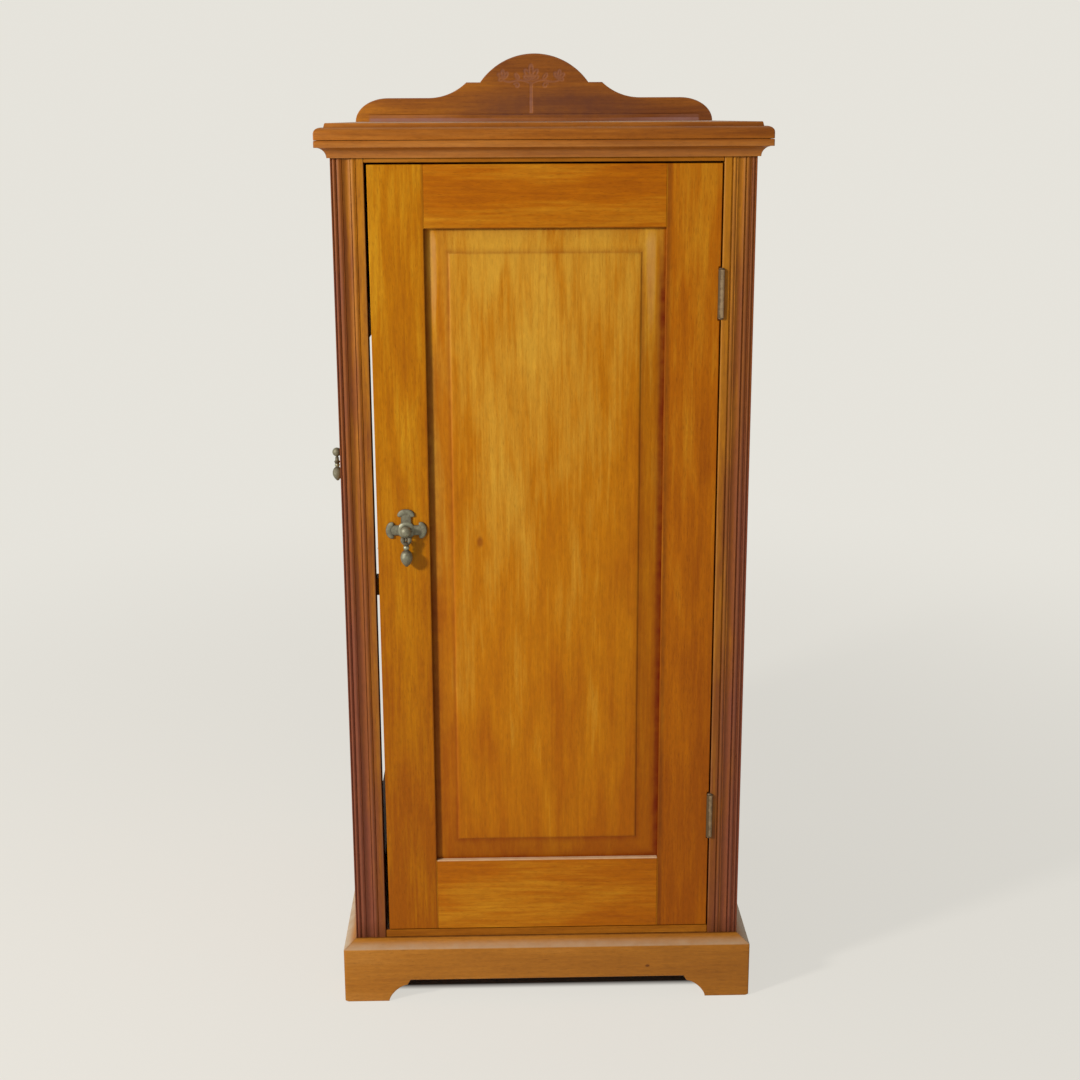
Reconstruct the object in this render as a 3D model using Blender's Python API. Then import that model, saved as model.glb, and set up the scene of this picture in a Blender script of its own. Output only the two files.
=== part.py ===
"""A tall Victorian walnut cupboard, with a panelled door at the front and another in its left side.

The origin is in the middle of the underside of the plinth's back board, so the cupboard stands on
z = 0 with its front facing -Y and its left side facing -X. All sizes are in metres.
"""
import math

import bmesh
import bpy
from mathutils import Vector

# Overall sizes of the carcass, over the pilasters
WIDTH = 0.460
DEPTH = 0.490
PLINTH_TOP = 0.0772
CARCASS_TOP = 1.0135
CLEARANCE = 0.0003

# Plinth boards, and the bracket cut that leaves a foot at each end
PLINTH_BOARD = 0.024
PLINTH_PROJECTION = 0.0145
PLINTH_SLOPE = 0.0089
PLINTH_BACK_BOARD = 0.018
FOOT_WIDTH = 0.053
FOOT_ARCH_WIDTH = 0.0224
FOOT_ARCH_HEIGHT = 0.0213
APRON_STEP = 0.0047
APRON_HEIGHT = 0.0276
BLOCK_SIZE = 0.030

# Pilasters: the strips of the moulded section, from the door out to the corner
PILASTER_DEPTH = 0.022
PILASTER_SECTION = (("flat", 0.0078), ("quirk", 0.0011), ("reed", 0.0049), ("flute", 0.0086),
                    ("quirk", 0.0011), ("reed", 0.0052), ("quirk", 0.0011), ("reed", 0.0036),
                    ("quirk", 0.0011), ("flat", 0.0010))
QUIRK_DEPTH = 0.0018
REED_RISE = 0.0010
FLUTE_SINK = 0.0014

# Boards and frames
BOARD = 0.018
SIDE_RECESS = 0.004
FLOOR_TOP = 0.0865
FLOOR_THICKNESS = 0.018
RAIL_STRIP = 0.0049
RAIL_THICKNESS = 0.020
EDGE_ROUND = 0.0006

# Cornice: the coved moulding, then the moulded edge of the top board
CORNICE_OVERHANG = 0.0155
MOULDING_HEIGHT = 0.0186
MOULDING_FILLET = 0.0077
MOULDING_STEP = 0.0018
MOULDING_TOE = 0.0032
TOP_THICKNESS = 0.0178
TOP_EDGE = 0.0066
TOP_ROUND = 0.0066
TOP_ROUND_WIDTH = 0.0078
TOP_LEDGE = 0.0024
TOP_FILLET_SLOPE = 0.0012

# Pediment, which stands behind the top board
PEDIMENT_THICKNESS = 0.014
PEDIMENT_WIDTH = 0.480
PEDIMENT_SHOULDER = 0.0305
PEDIMENT_STEP = 0.0505
PEDIMENT_CROWN = 0.0875
SHOULDER_ROUND = 0.044
SHOULDER_FLAT = 0.054
HOLLOW_WIDTH = 0.051
STEP_WIDTH = 0.0185

# Back of the carcass
POST_WIDTH = 0.038
BACK_RAIL = 0.018
BACK_BOARD = 0.009
BACK_TOP_RAIL = 0.068
BACK_BOTTOM_RAIL = 0.040
BOARD_GAP = 0.0006
BOARD_CHAMFER = 0.0012

# Shelf
BEARER_BOTTOM = 0.8035
BEARER_HEIGHT = 0.018
BEARER_WIDTH = 0.018
SHELF_THICKNESS = 0.017

# Front door
FRAME_THICKNESS = 0.020
DOOR_RECESS = 0.001
DOOR_BOTTOM_GAP = 0.0011
DOOR_TOP_GAP = 0.0022
HINGE_GAP = 0.0016
LATCH_GAP_TOP = 0.0032
LATCH_GAP_BOTTOM = 0.0048
STILE = 0.060
FRONT_TOP_RAIL = 0.068
FRONT_BOTTOM_RAIL = 0.089

# Left side: a sill, a door that stands ajar, and a board over it
SIDE_SILL_HEIGHT = 0.0244
SIDE_DOOR_TOP = 0.7785
SIDE_DOOR_GAP = 0.0016
SIDE_TOP_RAIL = 0.062
SIDE_BOTTOM_RAIL = 0.078
SIDE_AJAR = math.radians(5.8)

# Joinery of each frame, and the section of its panel
TENON_LENGTH = 0.035
TENON_SHOULDER = 0.012
GROOVE_DEPTH = 0.007
PANEL_BACK = 0.0140
PANEL_EDGE = 0.0075
FIELD_LEVEL = 0.0020
FIELD_STEP = 0.0012
BEVEL_WIDTH = 0.026

# Butt hinges
HINGE_LENGTH = 0.053
KNUCKLE_RADIUS = 0.0035
KNUCKLE_COUNT = 5
HINGE_PROUD = 0.0015
LEAF_WIDTH = 0.015
LEAF_THICKNESS = 0.0012
PIN_RADIUS = 0.0013
FINIAL_RADIUS = 0.0022
FINIAL_LENGTH = 0.0026
SCREW_HOLE_RADIUS = 0.0022
SCREW_COUNT = 3
SCREW_LINE = 0.0095
FRONT_HINGES_FROM_FOOT = 0.1428
FRONT_HINGES_FROM_HEAD = 0.1400
SIDE_HINGES_FROM_FOOT = 0.0965
SIDE_HINGES_FROM_HEAD = 0.1065

# Drop handles, their spindles and the tongues that they turn
FRONT_HANDLE_HEIGHT = 0.5837
SIDE_HANDLE_HEIGHT = 0.5852
FRONT_HANDLE_INSET = 0.0335
SIDE_HANDLE_INSET = 0.036
PLATE_THICKNESS = 0.0028
PLATE_DISC = 0.0105
LOBE_RADIUS = 0.0095
SIDE_LOBE_DISTANCE = 0.0138
TOP_LOBE_DISTANCE = 0.0151
PLATE_POINTS = 40
KNOB_RADIUS = 0.0062
KNOB_CENTRE = 0.0088
KNOB_FLANGE_RADIUS = 0.0046
KNOB_FLANGE_THICKNESS = 0.0010
KNOB_NECK_RADIUS = 0.0033
SPINDLE_RADIUS = 0.0026
SPINDLE_CLEARANCE = 0.0004
SPINDLE_TAIL = 0.0015
TONGUE_THICKNESS = 0.002
TONGUE_WIDTH = 0.009
TONGUE_HEEL = 0.006
TONGUE_NOSE = 0.005
TONGUE_TIP_WIDTH = 0.003
FRONT_TONGUE_LENGTH = 0.0440
FRONT_TONGUE_GAP = 0.0018
FRONT_TONGUE_REST = math.radians(39.5)
SIDE_TONGUE_LENGTH = 0.0172
SIDE_TONGUE_GAP = 0.0052
SIDE_TONGUE_REST = math.radians(90.0)
EYE_THICKNESS = 0.0020
EYE_RADIUS = 0.0019
EYE_NECK = 0.0026
PIVOT_BELOW = 0.0094
DROP_PIN_RADIUS = 0.0007
FORK_WIDTH = 0.0060
FORK_RADIUS = 0.0024

# Turned section of a drop: distance below its pivot, and radius
DROP_SECTION = ((0.0010, 0.0021), (0.0032, 0.0021), (0.0048, 0.0032), (0.0066, 0.0036), (0.0084, 0.0030),
                (0.0100, 0.0024), (0.0130, 0.0040), (0.0170, 0.0061), (0.0210, 0.0068), (0.0250, 0.0060),
                (0.0282, 0.0040), (0.0300, 0.0022), (0.0312, 0.0010))

# Keepers: a stop block behind the left pilaster, and a strip on the left rear post
STOP_BELOW_HANDLE = 0.0621
STOP_HEIGHT = 0.0205
STOP_DEPTH = 0.020
STOP_WIDTH = 0.030
STRIP_THICKNESS = 0.0042
STRIP_DEPTH = 0.0120
STRIP_HEIGHT = 0.050

# Places worked out from the sizes
PILASTER_WIDTH = sum(width for kind, width in PILASTER_SECTION)
BACK_Y = PLINTH_BACK_BOARD / 2
FRONT_Y = BACK_Y - DEPTH
HALF = WIDTH / 2
OPENING_HALF = HALF - PILASTER_WIDTH
SIDE_FACE = HALF - SIDE_RECESS
SIDE_INNER = SIDE_FACE - FRAME_THICKNESS
BEHIND_PILASTER = FRONT_Y + PILASTER_DEPTH + CLEARANCE
BASE_Z = PLINTH_TOP + CLEARANCE
CEILING = CARCASS_TOP - CLEARANCE
MOULDING_BOTTOM = CARCASS_TOP - MOULDING_HEIGHT
TOP_RAIL_BOTTOM = MOULDING_BOTTOM - RAIL_STRIP
DOOR_TOP = TOP_RAIL_BOTTOM - DOOR_TOP_GAP
DOOR_BOTTOM = FLOOR_TOP + DOOR_BOTTOM_GAP
DOOR_FACE = FRONT_Y + DOOR_RECESS
DOOR_LEFT = -OPENING_HALF + LATCH_GAP_TOP
DOOR_RIGHT = OPENING_HALF - HINGE_GAP
SIDE_DOOR_BOTTOM = BASE_Z + SIDE_SILL_HEIGHT + SIDE_DOOR_GAP
SIDE_DOOR_FRONT = FRONT_Y + PILASTER_DEPTH + HINGE_GAP
FRONT_HINGE_HEIGHTS = (DOOR_BOTTOM + FRONT_HINGES_FROM_FOOT, DOOR_TOP - FRONT_HINGES_FROM_HEAD)
SIDE_HINGE_HEIGHTS = (SIDE_DOOR_BOTTOM + SIDE_HINGES_FROM_FOOT, SIDE_DOOR_TOP - SIDE_HINGES_FROM_HEAD)
SHELF_BOTTOM = BEARER_BOTTOM + BEARER_HEIGHT + CLEARANCE
TOP_FACE = CARCASS_TOP + TOP_THICKNESS
FRONT_AXIS = Vector((OPENING_HALF - HINGE_GAP / 2, DOOR_FACE - HINGE_PROUD, 0.0))
SIDE_AXIS = Vector((-SIDE_FACE - HINGE_PROUD, FRONT_Y + PILASTER_DEPTH + HINGE_GAP / 2, 0.0))
UP = Vector((0.0, 0.0, 1.0))

# Finishes: name, base colour, roughness and metallic value
DOOR_WALNUT = ("door_walnut", (0.42, 0.19, 0.035, 1.0), 0.38, 0.0)
CARCASS_WALNUT = ("carcass_walnut", (0.24, 0.075, 0.022, 1.0), 0.36, 0.0)
PINE = ("inner_pine", (0.36, 0.22, 0.11, 1.0), 0.75, 0.0)
OLD_BRASS = ("old_brass", (0.19, 0.17, 0.12, 1.0), 0.42, 1.0)
STEEL = ("dull_steel", (0.20, 0.18, 0.16, 1.0), 0.45, 1.0)


def clear_scene():
    for obj in list(bpy.data.objects):
        bpy.data.objects.remove(obj, do_unlink=True)


def own_material(finish, name):
    """Each sub-part has its own material, in the finish that is named."""
    label, colour, roughness, metallic = finish
    made = bpy.data.materials.new(name + "_" + label)
    made.use_nodes = True
    shader = made.node_tree.nodes["Principled BSDF"]
    shader.inputs["Base Color"].default_value = colour
    shader.inputs["Roughness"].default_value = roughness
    shader.inputs["Metallic"].default_value = metallic
    made.diffuse_color = colour
    return made


def link_object(name, data, parent, place, turn):
    made = bpy.data.objects.new(name, data)
    bpy.context.collection.objects.link(made)
    made.location = place
    made.rotation_euler = (0.0, 0.0, turn)
    made.parent = parent
    return made


def pivot(name, place, turn=0.0, parent=None):
    """An empty on a joint's axis, which carries the pieces that turn about it."""
    return link_object(name, None, parent, place, turn)


def piece(name, bm, finish, parent=None, place=(0, 0, 0), turn=0.0, smooth=False):
    bmesh.ops.recalc_face_normals(bm, faces=bm.faces)
    mesh = bpy.data.meshes.new(name)
    bm.to_mesh(mesh)
    bm.free()
    if smooth:
        mesh.shade_smooth()
        mesh.set_sharp_from_angle(angle=math.radians(35))
    if finish:
        mesh.materials.append(own_material(finish, name))
    return link_object(name, mesh, parent, place, turn)


def cutter(name, bm, parent=None, place=(0, 0, 0), turn=0.0):
    """A guide for a Boolean, which isn't part of the cupboard."""
    made = piece(name, bm, None, parent, place, turn)
    made.hide_render = True
    made.display_type = "WIRE"
    return made


def boolean(obj, other, operation):
    step = obj.modifiers.new(other.name, "BOOLEAN")
    step.operation = operation
    step.object = other
    step.solver = "EXACT"


def cut(obj, *others):
    for other in others:
        boolean(obj, other, "DIFFERENCE")


def join(obj, *others):
    for other in others:
        boolean(obj, other, "UNION")


def soften(obj, width=EDGE_ROUND):
    """Takes the sharpness off a board's edges."""
    step = obj.modifiers.new("soft_edges", "BEVEL")
    step.width = width
    step.segments = 1
    step.limit_method = "ANGLE"
    step.angle_limit = math.radians(40)


def between(a, b):
    """The lowest and highest corners of the box that two corners span."""
    low = tuple(min(p, q) for p, q in zip(a, b))
    high = tuple(max(p, q) for p, q in zip(a, b))
    return low, high


def blocks(*boxes):
    bm = bmesh.new()
    for a, b in boxes:
        low, high = between(a, b)
        made = bmesh.ops.create_cube(bm, size=1.0)
        for vert in made["verts"]:
            vert.co = Vector([(p + q) / 2 + v * (q - p) for p, q, v in zip(low, high, vert.co)])
    return bm


def board(name, low, high, finish, **where):
    made = piece(name, blocks((low, high)), finish, **where)
    soften(made)
    return made


def add_loft(bm, rings):
    """Joins rings of equal count, one after another, and closes both ends."""
    loops = [[bm.verts.new(point) for point in ring] for ring in rings]
    bm.faces.new(loops[0])
    bm.faces.new(loops[-1])
    for lower, upper in zip(loops, loops[1:]):
        for i in range(len(lower)):
            j = (i + 1) % len(lower)
            bm.faces.new((lower[i], lower[j], upper[j], upper[i]))


def loft(*rings):
    bm = bmesh.new()
    add_loft(bm, rings)
    return bm


def prism(outline, lift, start, end):
    """Extrudes an outline. lift turns an outline point and a distance into a place."""
    return loft([lift(point, start) for point in outline], [lift(point, end) for point in outline])


def add_turned(bm, origin, along, stations, sides=12):
    """A turned piece: stations holds the distance along its axis and the radius there."""
    origin, along = Vector(origin), Vector(along).normalized()
    across = along.orthogonal().normalized()
    beside = along.cross(across)
    angles = [2 * math.pi * i / sides for i in range(sides)]
    add_loft(bm, [[origin + distance * along + radius * (math.cos(a) * across + math.sin(a) * beside)
                   for a in angles] for distance, radius in stations])


def turned(origin, along, stations, sides=12):
    bm = bmesh.new()
    add_turned(bm, origin, along, stations, sides)
    return bm


def rods(ends, radius, sides=12):
    """Plain round rods between pairs of points."""
    bm = bmesh.new()
    for start, end in ends:
        span = Vector(end) - Vector(start)
        add_turned(bm, start, span, ((0.0, radius), (span.length, radius)), sides)
    return bm


def arc(centre, radius_x, radius_y, start, end, count):
    """Points along an elliptical arc, with angles in degrees and both ends included."""
    angles = [math.radians(start + (end - start) * i / count) for i in range(count + 1)]
    return [(centre[0] + radius_x * math.cos(a), centre[1] + radius_y * math.sin(a)) for a in angles]


# Plinth

def mitred_runs(section, gap):
    """Ends of a moulding's front, left and right runs, mitred at the front corners.

    section holds the projection from the carcass's outside and the height of each corner.
    """
    front = ([(-HALF - p + gap, FRONT_Y - p, z) for p, z in section],
             [(HALF + p - gap, FRONT_Y - p, z) for p, z in section])
    sides = [([(s * (HALF + p), FRONT_Y - p + gap, z) for p, z in section],
              [(s * (HALF + p), BACK_Y, z) for p, z in section]) for s in (-1, 1)]
    return front, sides[0], sides[1]


def bracket_opening(length, lift, reach):
    """The cut under an apron: a quarter arch beside each foot, then a small step up."""
    edge = length / 2 - FOOT_WIDTH
    haunch = edge - FOOT_ARCH_WIDTH
    arch = arc((haunch, 0.0), FOOT_ARCH_WIDTH, FOOT_ARCH_HEIGHT, 0, 90, 6)
    half = [(edge, -FOOT_ARCH_HEIGHT)] + arch + [(haunch - APRON_STEP, APRON_HEIGHT)]
    outline = half + [(-x, z) for x, z in reversed(half)]
    return prism(outline, lift, -reach, reach)


def build_plinth():
    back = PLINTH_PROJECTION - PLINTH_BOARD
    section = [(back, 0.0), (PLINTH_PROJECTION, 0.0), (PLINTH_PROJECTION, PLINTH_TOP - PLINTH_SLOPE),
               (0.0, PLINTH_TOP), (back, PLINTH_TOP)]
    runs = mitred_runs(section, CLEARANCE * math.sqrt(2) / 2)
    side_length = DEPTH + PLINTH_PROJECTION
    side_middle = BACK_Y - side_length / 2
    front_cut = cutter("front_bracket_cut", bracket_opening(
        WIDTH + 2 * PLINTH_PROJECTION, lambda p, d: (p[0], FRONT_Y + d, p[1]), 2 * PLINTH_BOARD))
    side_cut = cutter("side_bracket_cut", bracket_opening(
        side_length, lambda p, d: (d, side_middle + p[0], p[1]), WIDTH))
    names = ("plinth_front", "plinth_left", "plinth_right")
    for name, ends, opening in zip(names, runs, (front_cut, side_cut, side_cut)):
        cut(piece(name, loft(*ends), CARCASS_WALNUT), opening)
    inner = HALF + back - CLEARANCE
    board("plinth_back", (-inner, BACK_Y - PLINTH_BACK_BOARD, 0.0), (inner, BACK_Y, PLINTH_TOP), PINE)
    face = FRONT_Y - back + CLEARANCE
    block_top = FLOOR_TOP - FLOOR_THICKNESS - CLEARANCE
    for name, side in (("left_plinth_block", -1), ("right_plinth_block", 1)):
        board(name, (side * inner, face, 0.0),
              (side * (inner - BLOCK_SIZE), face + BLOCK_SIZE, block_top), PINE)


# Carcass

def pilaster_outline():
    """Section of a pilaster: distance from its inner edge, and depth behind its face."""
    points = []
    x = 0.0
    for kind, width in PILASTER_SECTION:
        if kind == "flat":
            points += [(x, 0.0), (x + width, 0.0)]
        elif kind == "quirk":
            points.append((x + width / 2, QUIRK_DEPTH))
        else:
            rise = -REED_RISE if kind == "reed" else FLUTE_SINK
            base = REED_RISE if kind == "reed" else 0.0
            points += [(x + width * i / 6, base + rise * math.sin(math.pi * i / 6)) for i in range(1, 6)]
        x += width
    return points + [(x, PILASTER_DEPTH), (0.0, PILASTER_DEPTH)]


def build_pilasters(cuts):
    for name, side, others in zip(("left_pilaster", "right_pilaster"), (-1, 1), cuts):
        section = [(side * (OPENING_HALF + across), FRONT_Y + depth) for across, depth in pilaster_outline()]
        shape = prism(section, lambda p, z: (p[0], p[1], z), BASE_Z, CEILING)
        cut(piece(name, shape, CARCASS_WALNUT, smooth=True), *others)


def build_carcass():
    inner = OPENING_HALF - CLEARANCE
    back = FRONT_Y + RAIL_THICKNESS
    board("front_sill", (-inner, DOOR_FACE, BASE_Z), (inner, back, FLOOR_TOP), CARCASS_WALNUT)
    board("top_rail", (-inner, FRONT_Y + CLEARANCE, TOP_RAIL_BOTTOM), (inner, back, CEILING),
          CARCASS_WALNUT)
    floor_half = SIDE_INNER - CLEARANCE
    board("floor_board", (-floor_half, BEHIND_PILASTER, FLOOR_TOP - FLOOR_THICKNESS),
          (floor_half, BACK_Y - BOARD - CLEARANCE, FLOOR_TOP), PINE)
    board("side_sill", (-SIDE_FACE, BEHIND_PILASTER, BASE_Z),
          (-SIDE_INNER, BACK_Y, BASE_Z + SIDE_SILL_HEIGHT), CARCASS_WALNUT)
    board("left_upper_board", (-SIDE_FACE, BEHIND_PILASTER, SIDE_DOOR_TOP + SIDE_DOOR_GAP),
          (-SIDE_INNER, BACK_Y, CEILING), CARCASS_WALNUT)
    board("right_side_board", (SIDE_INNER, BEHIND_PILASTER, BASE_Z), (SIDE_FACE, BACK_Y, CEILING),
          CARCASS_WALNUT)


def build_back():
    """A post behind the side door, two rails, and three upright boards on the rails."""
    outer = SIDE_INNER - CLEARANCE
    post_inner = POST_WIDTH - outer
    board("left_rear_post", (-outer, BACK_Y - BOARD, BASE_Z), (post_inner, BACK_Y, CEILING), CARCASS_WALNUT)
    left = post_inner + CLEARANCE
    rail_back = BACK_Y - BACK_BOARD - CLEARANCE
    rails = (("back_top_rail", CEILING - BACK_TOP_RAIL, CEILING),
             ("back_bottom_rail", FLOOR_TOP + CLEARANCE, FLOOR_TOP + CLEARANCE + BACK_BOTTOM_RAIL))
    for name, low, high in rails:
        board(name, (left, rail_back - BACK_RAIL, low), (outer, rail_back, high), PINE)
    names = ("left_back_board", "middle_back_board", "right_back_board")
    step = (outer - left + BOARD_GAP) / len(names)
    for i, name in enumerate(names):
        start = left + i * step
        plank = piece(name, blocks(((start, BACK_Y - BACK_BOARD, BASE_Z),
                                    (start + step - BOARD_GAP, BACK_Y, CEILING))), PINE)
        soften(plank, BOARD_CHAMFER)


def build_shelf():
    outer = SIDE_INNER - CLEARANCE
    rear = BACK_Y - BOARD - CLEARANCE
    for name, side in (("left_shelf_bearer", -1), ("right_shelf_bearer", 1)):
        board(name, (side * outer, BEHIND_PILASTER, BEARER_BOTTOM),
              (side * (outer - BEARER_WIDTH), rear, BEARER_BOTTOM + BEARER_HEIGHT), PINE)
    board("shelf", (-outer, BEHIND_PILASTER, SHELF_BOTTOM),
          (outer, rear, SHELF_BOTTOM + SHELF_THICKNESS), PINE)


def build_keepers():
    """The front door closes on a stop block, and the side latch's tongue goes behind a strip."""
    inner = SIDE_INNER - CLEARANCE
    post_face = BACK_Y - BOARD - CLEARANCE
    stop_top = FRONT_HANDLE_HEIGHT - STOP_BELOW_HANDLE
    board("door_stop_block", (-inner, BEHIND_PILASTER, stop_top - STOP_HEIGHT),
          (STOP_WIDTH - inner, BEHIND_PILASTER + STOP_DEPTH, stop_top), CARCASS_WALNUT)
    board("side_latch_keeper", (-inner, post_face - STRIP_DEPTH, SIDE_HANDLE_HEIGHT - STRIP_HEIGHT / 2),
          (STRIP_THICKNESS - inner, post_face, SIDE_HANDLE_HEIGHT + STRIP_HEIGHT / 2), CARCASS_WALNUT)


# Cornice and pediment

def build_cornice():
    top = CARCASS_TOP - CLEARANCE
    out = CORNICE_OVERHANG
    cove_top = CARCASS_TOP - MOULDING_FILLET
    toe = MOULDING_TOE
    cove = arc((out - MOULDING_STEP, MOULDING_BOTTOM), out - MOULDING_STEP - toe,
               cove_top - MOULDING_BOTTOM, 180, 90, 5)
    section = [(CLEARANCE, MOULDING_BOTTOM)] + cove + [(out, cove_top), (out, top), (CLEARANCE, top)]
    names = ("cornice_front", "cornice_left", "cornice_right")
    for name, ends, side in zip(names, mitred_runs(section, CLEARANCE * math.sqrt(2) / 2), (0, -1, 1)):
        run = piece(name, loft(*ends), CARCASS_WALNUT, smooth=True)
        if side:
            packing = blocks(((side * (SIDE_FACE + CLEARANCE), BEHIND_PILASTER, MOULDING_BOTTOM),
                              (side * (HALF + MOULDING_TOE / 2), BACK_Y, top)))
            join(run, cutter(name + "_packing", packing))
    back = BACK_Y - PEDIMENT_THICKNESS - CLEARANCE
    edge_top = CARCASS_TOP + TOP_EDGE
    edge = [(0.0, CARCASS_TOP), (0.0, edge_top)]
    roundness = arc((0.0, edge_top), TOP_ROUND_WIDTH, TOP_ROUND, 30, 90, 2)
    edge += [(TOP_ROUND_WIDTH - x, z) for x, z in roundness]
    inset = TOP_ROUND_WIDTH + TOP_LEDGE
    edge += [(inset, edge_top + TOP_ROUND), (inset + TOP_FILLET_SLOPE, TOP_FACE)]
    rings = []
    for inward, z in edge:
        x = HALF + out - inward
        y = FRONT_Y - out + inward
        rings.append([(-x, y, z), (x, y, z), (x, back, z), (-x, back, z)])
    piece("top_board", loft(*rings), CARCASS_WALNUT)


def arc_over(run, rise):
    """Radius and sweep of the arc that leaves a level line and rises by one over the other."""
    return (run ** 2 + rise ** 2) / (2 * rise), math.degrees(2 * math.atan2(rise, run))


def build_pediment():
    """A crown arc, a step, a hollow, a flat and a round shoulder, mirrored about the middle."""
    half = PEDIMENT_WIDTH / 2
    step_out = half - SHOULDER_ROUND - SHOULDER_FLAT - HOLLOW_WIDTH
    step_in = step_out - STEP_WIDTH
    radius, sweep = arc_over(step_in, PEDIMENT_CROWN - PEDIMENT_STEP)
    crown = arc((0.0, PEDIMENT_CROWN - radius), radius, radius, 90, 90 - sweep, 8)
    radius, sweep = arc_over(HOLLOW_WIDTH, PEDIMENT_STEP - PEDIMENT_SHOULDER)
    hollow = arc((step_out + HOLLOW_WIDTH, PEDIMENT_SHOULDER + radius), radius, radius,
                 270 - sweep, 270, 6)
    shoulder = arc((half - SHOULDER_ROUND, 0.0), SHOULDER_ROUND, PEDIMENT_SHOULDER, 90, 0, 7)
    right = crown + hollow + shoulder + [(half, -TOP_THICKNESS)]
    outline = right + [(-x, z) for x, z in reversed(right[1:])]
    piece("pediment", prism(outline, lambda p, y: (p[0], y, TOP_FACE + p[1]),
                            BACK_Y - PEDIMENT_THICKNESS, BACK_Y), CARCASS_WALNUT)


# Frames with panels

def raised_panel(opening):
    """A panel that fills its grooves, with a bevel up to a raised field."""
    left, right, low, high = opening
    steps = ((-GROOVE_DEPTH, PANEL_BACK), (-GROOVE_DEPTH, PANEL_EDGE), (0.0, PANEL_EDGE),
             (BEVEL_WIDTH, FIELD_LEVEL + FIELD_STEP), (BEVEL_WIDTH, FIELD_LEVEL))
    rings = []
    for inset, depth in steps:
        corners = ((left + inset, low + inset), (right - inset, low + inset),
                   (right - inset, high - inset), (left + inset, high - inset))
        rings.append([(x, depth, z) for x, z in corners])
    return loft(*rings)


def framed_panel(prefix, size, rails, where, taper=0.0):
    """A door: two stiles and two rails, mortised and tenoned, with a panel in their grooves.

    Seen from outside, x runs right from the door's left edge and y goes in from its face. size
    gives the width, foot and head, and rails the top and bottom rails' heights. taper is how much
    the left edge comes in at the foot. The latch is on the left stile and the hinges on the right.
    """
    width, foot, head = size
    opening = (STILE, width - STILE, foot + rails[1], head - rails[0])
    reach = GROOVE_DEPTH + CLEARANCE
    front, back = PANEL_EDGE - CLEARANCE, PANEL_BACK + CLEARANCE
    groove = cutter(prefix + "_groove", blocks(((opening[0] - reach, front, opening[2] - reach),
                                                (opening[1] + reach, back, opening[3] + reach))), **where)
    outline = [(taper, foot), (STILE, foot), (STILE, head), (0.0, head)]
    latch_stile = piece(prefix + "_latch_stile", prism(
        outline, lambda p, y: (p[0], y, p[1]), 0.0, FRAME_THICKNESS), DOOR_WALNUT, **where)
    soften(latch_stile)
    hinge_stile = board(prefix + "_hinge_stile", (width - STILE, 0.0, foot), (width, FRAME_THICKNESS, head),
                        DOOR_WALNUT, **where)
    for name, low, high in (("_top_rail", opening[3], head), ("_bottom_rail", foot, opening[2])):
        rail = board(prefix + name, (opening[0] + CLEARANCE, 0.0, low),
                     (opening[1] - CLEARANCE, FRAME_THICKNESS, high), DOOR_WALNUT, **where)
        bottom, top = low + TENON_SHOULDER, high - TENON_SHOULDER
        tenons = blocks(((opening[0] - TENON_LENGTH, PANEL_EDGE, bottom),
                         (opening[1] + TENON_LENGTH, PANEL_BACK, top)))
        join(rail, cutter(prefix + name + "_tenons", tenons, **where))
        cut(rail, groove)
        hole = TENON_LENGTH + CLEARANCE
        mortises = cutter(prefix + name + "_mortises", blocks(
            ((opening[0] - hole, front, bottom - CLEARANCE),
             (opening[1] + hole, back, top + CLEARANCE))), **where)
        cut(latch_stile, mortises)
        cut(hinge_stile, mortises)
    cut(latch_stile, groove)
    cut(hinge_stile, groove)
    piece(prefix + "_panel", raised_panel(opening), DOOR_WALNUT, **where)
    return latch_stile, hinge_stile


# Butt hinges

def hinge_leaf(name, middle, toward, inward, first_knuckle, parent):
    """One leaf with its knuckles. Returns the cutters that let it into the wood.

    middle is the place on the axis at half the hinge's height. toward points from the middle of
    the gap into the wood, and inward from the axis into the gap. first_knuckle is 0 for the leaf
    that has both end knuckles, and 1 for the other.
    """
    foot = middle - UP * HINGE_LENGTH / 2
    head = middle + UP * HINGE_LENGTH / 2
    step = UP * HINGE_LENGTH / KNUCKLE_COUNT
    gap = UP * CLEARANCE / 2
    own, others = [], []
    for i in range(KNUCKLE_COUNT):
        low, high = foot + step * i, foot + step * (i + 1)
        if i % 2 == first_knuckle:
            own.append((low + gap, high - gap))
        else:
            others.append((low - gap, high + gap))
    back = CLEARANCE / 2 + LEAF_THICKNESS
    pitch = UP * HINGE_LENGTH / SCREW_COUNT
    places = [foot + pitch * (i + 0.5) + inward * SCREW_LINE for i in range(SCREW_COUNT)]
    holes = [(at, at + toward * 2 * back) for at in places]
    leaf = piece(name, blocks((foot + toward * CLEARANCE / 2, head + toward * back + inward * LEAF_WIDTH)),
                 OLD_BRASS, parent)
    room = KNUCKLE_RADIUS + CLEARANCE
    cut(leaf, cutter(name + "_knuckle_room", rods(others, room, 16), parent))
    join(leaf, cutter(name + "_knuckles", rods(own, KNUCKLE_RADIUS, 16), parent))
    cut(leaf, cutter(name + "_bore", rods([(foot - step, head + step)], PIN_RADIUS + CLEARANCE), parent))
    cut(leaf, cutter(name + "_screw_holes", rods(holes, SCREW_HOLE_RADIUS), parent))
    seat = (foot - UP * CLEARANCE,
            head + UP * CLEARANCE + toward * (back + CLEARANCE) + inward * (LEAF_WIDTH + CLEARANCE))
    ends = UP * (FINIAL_LENGTH + 2 * CLEARANCE)
    return (cutter(name + "_seat", blocks(seat), parent),
            cutter(name + "_hollow", rods([(foot - ends, head + ends)], room, 16), parent))


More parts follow.
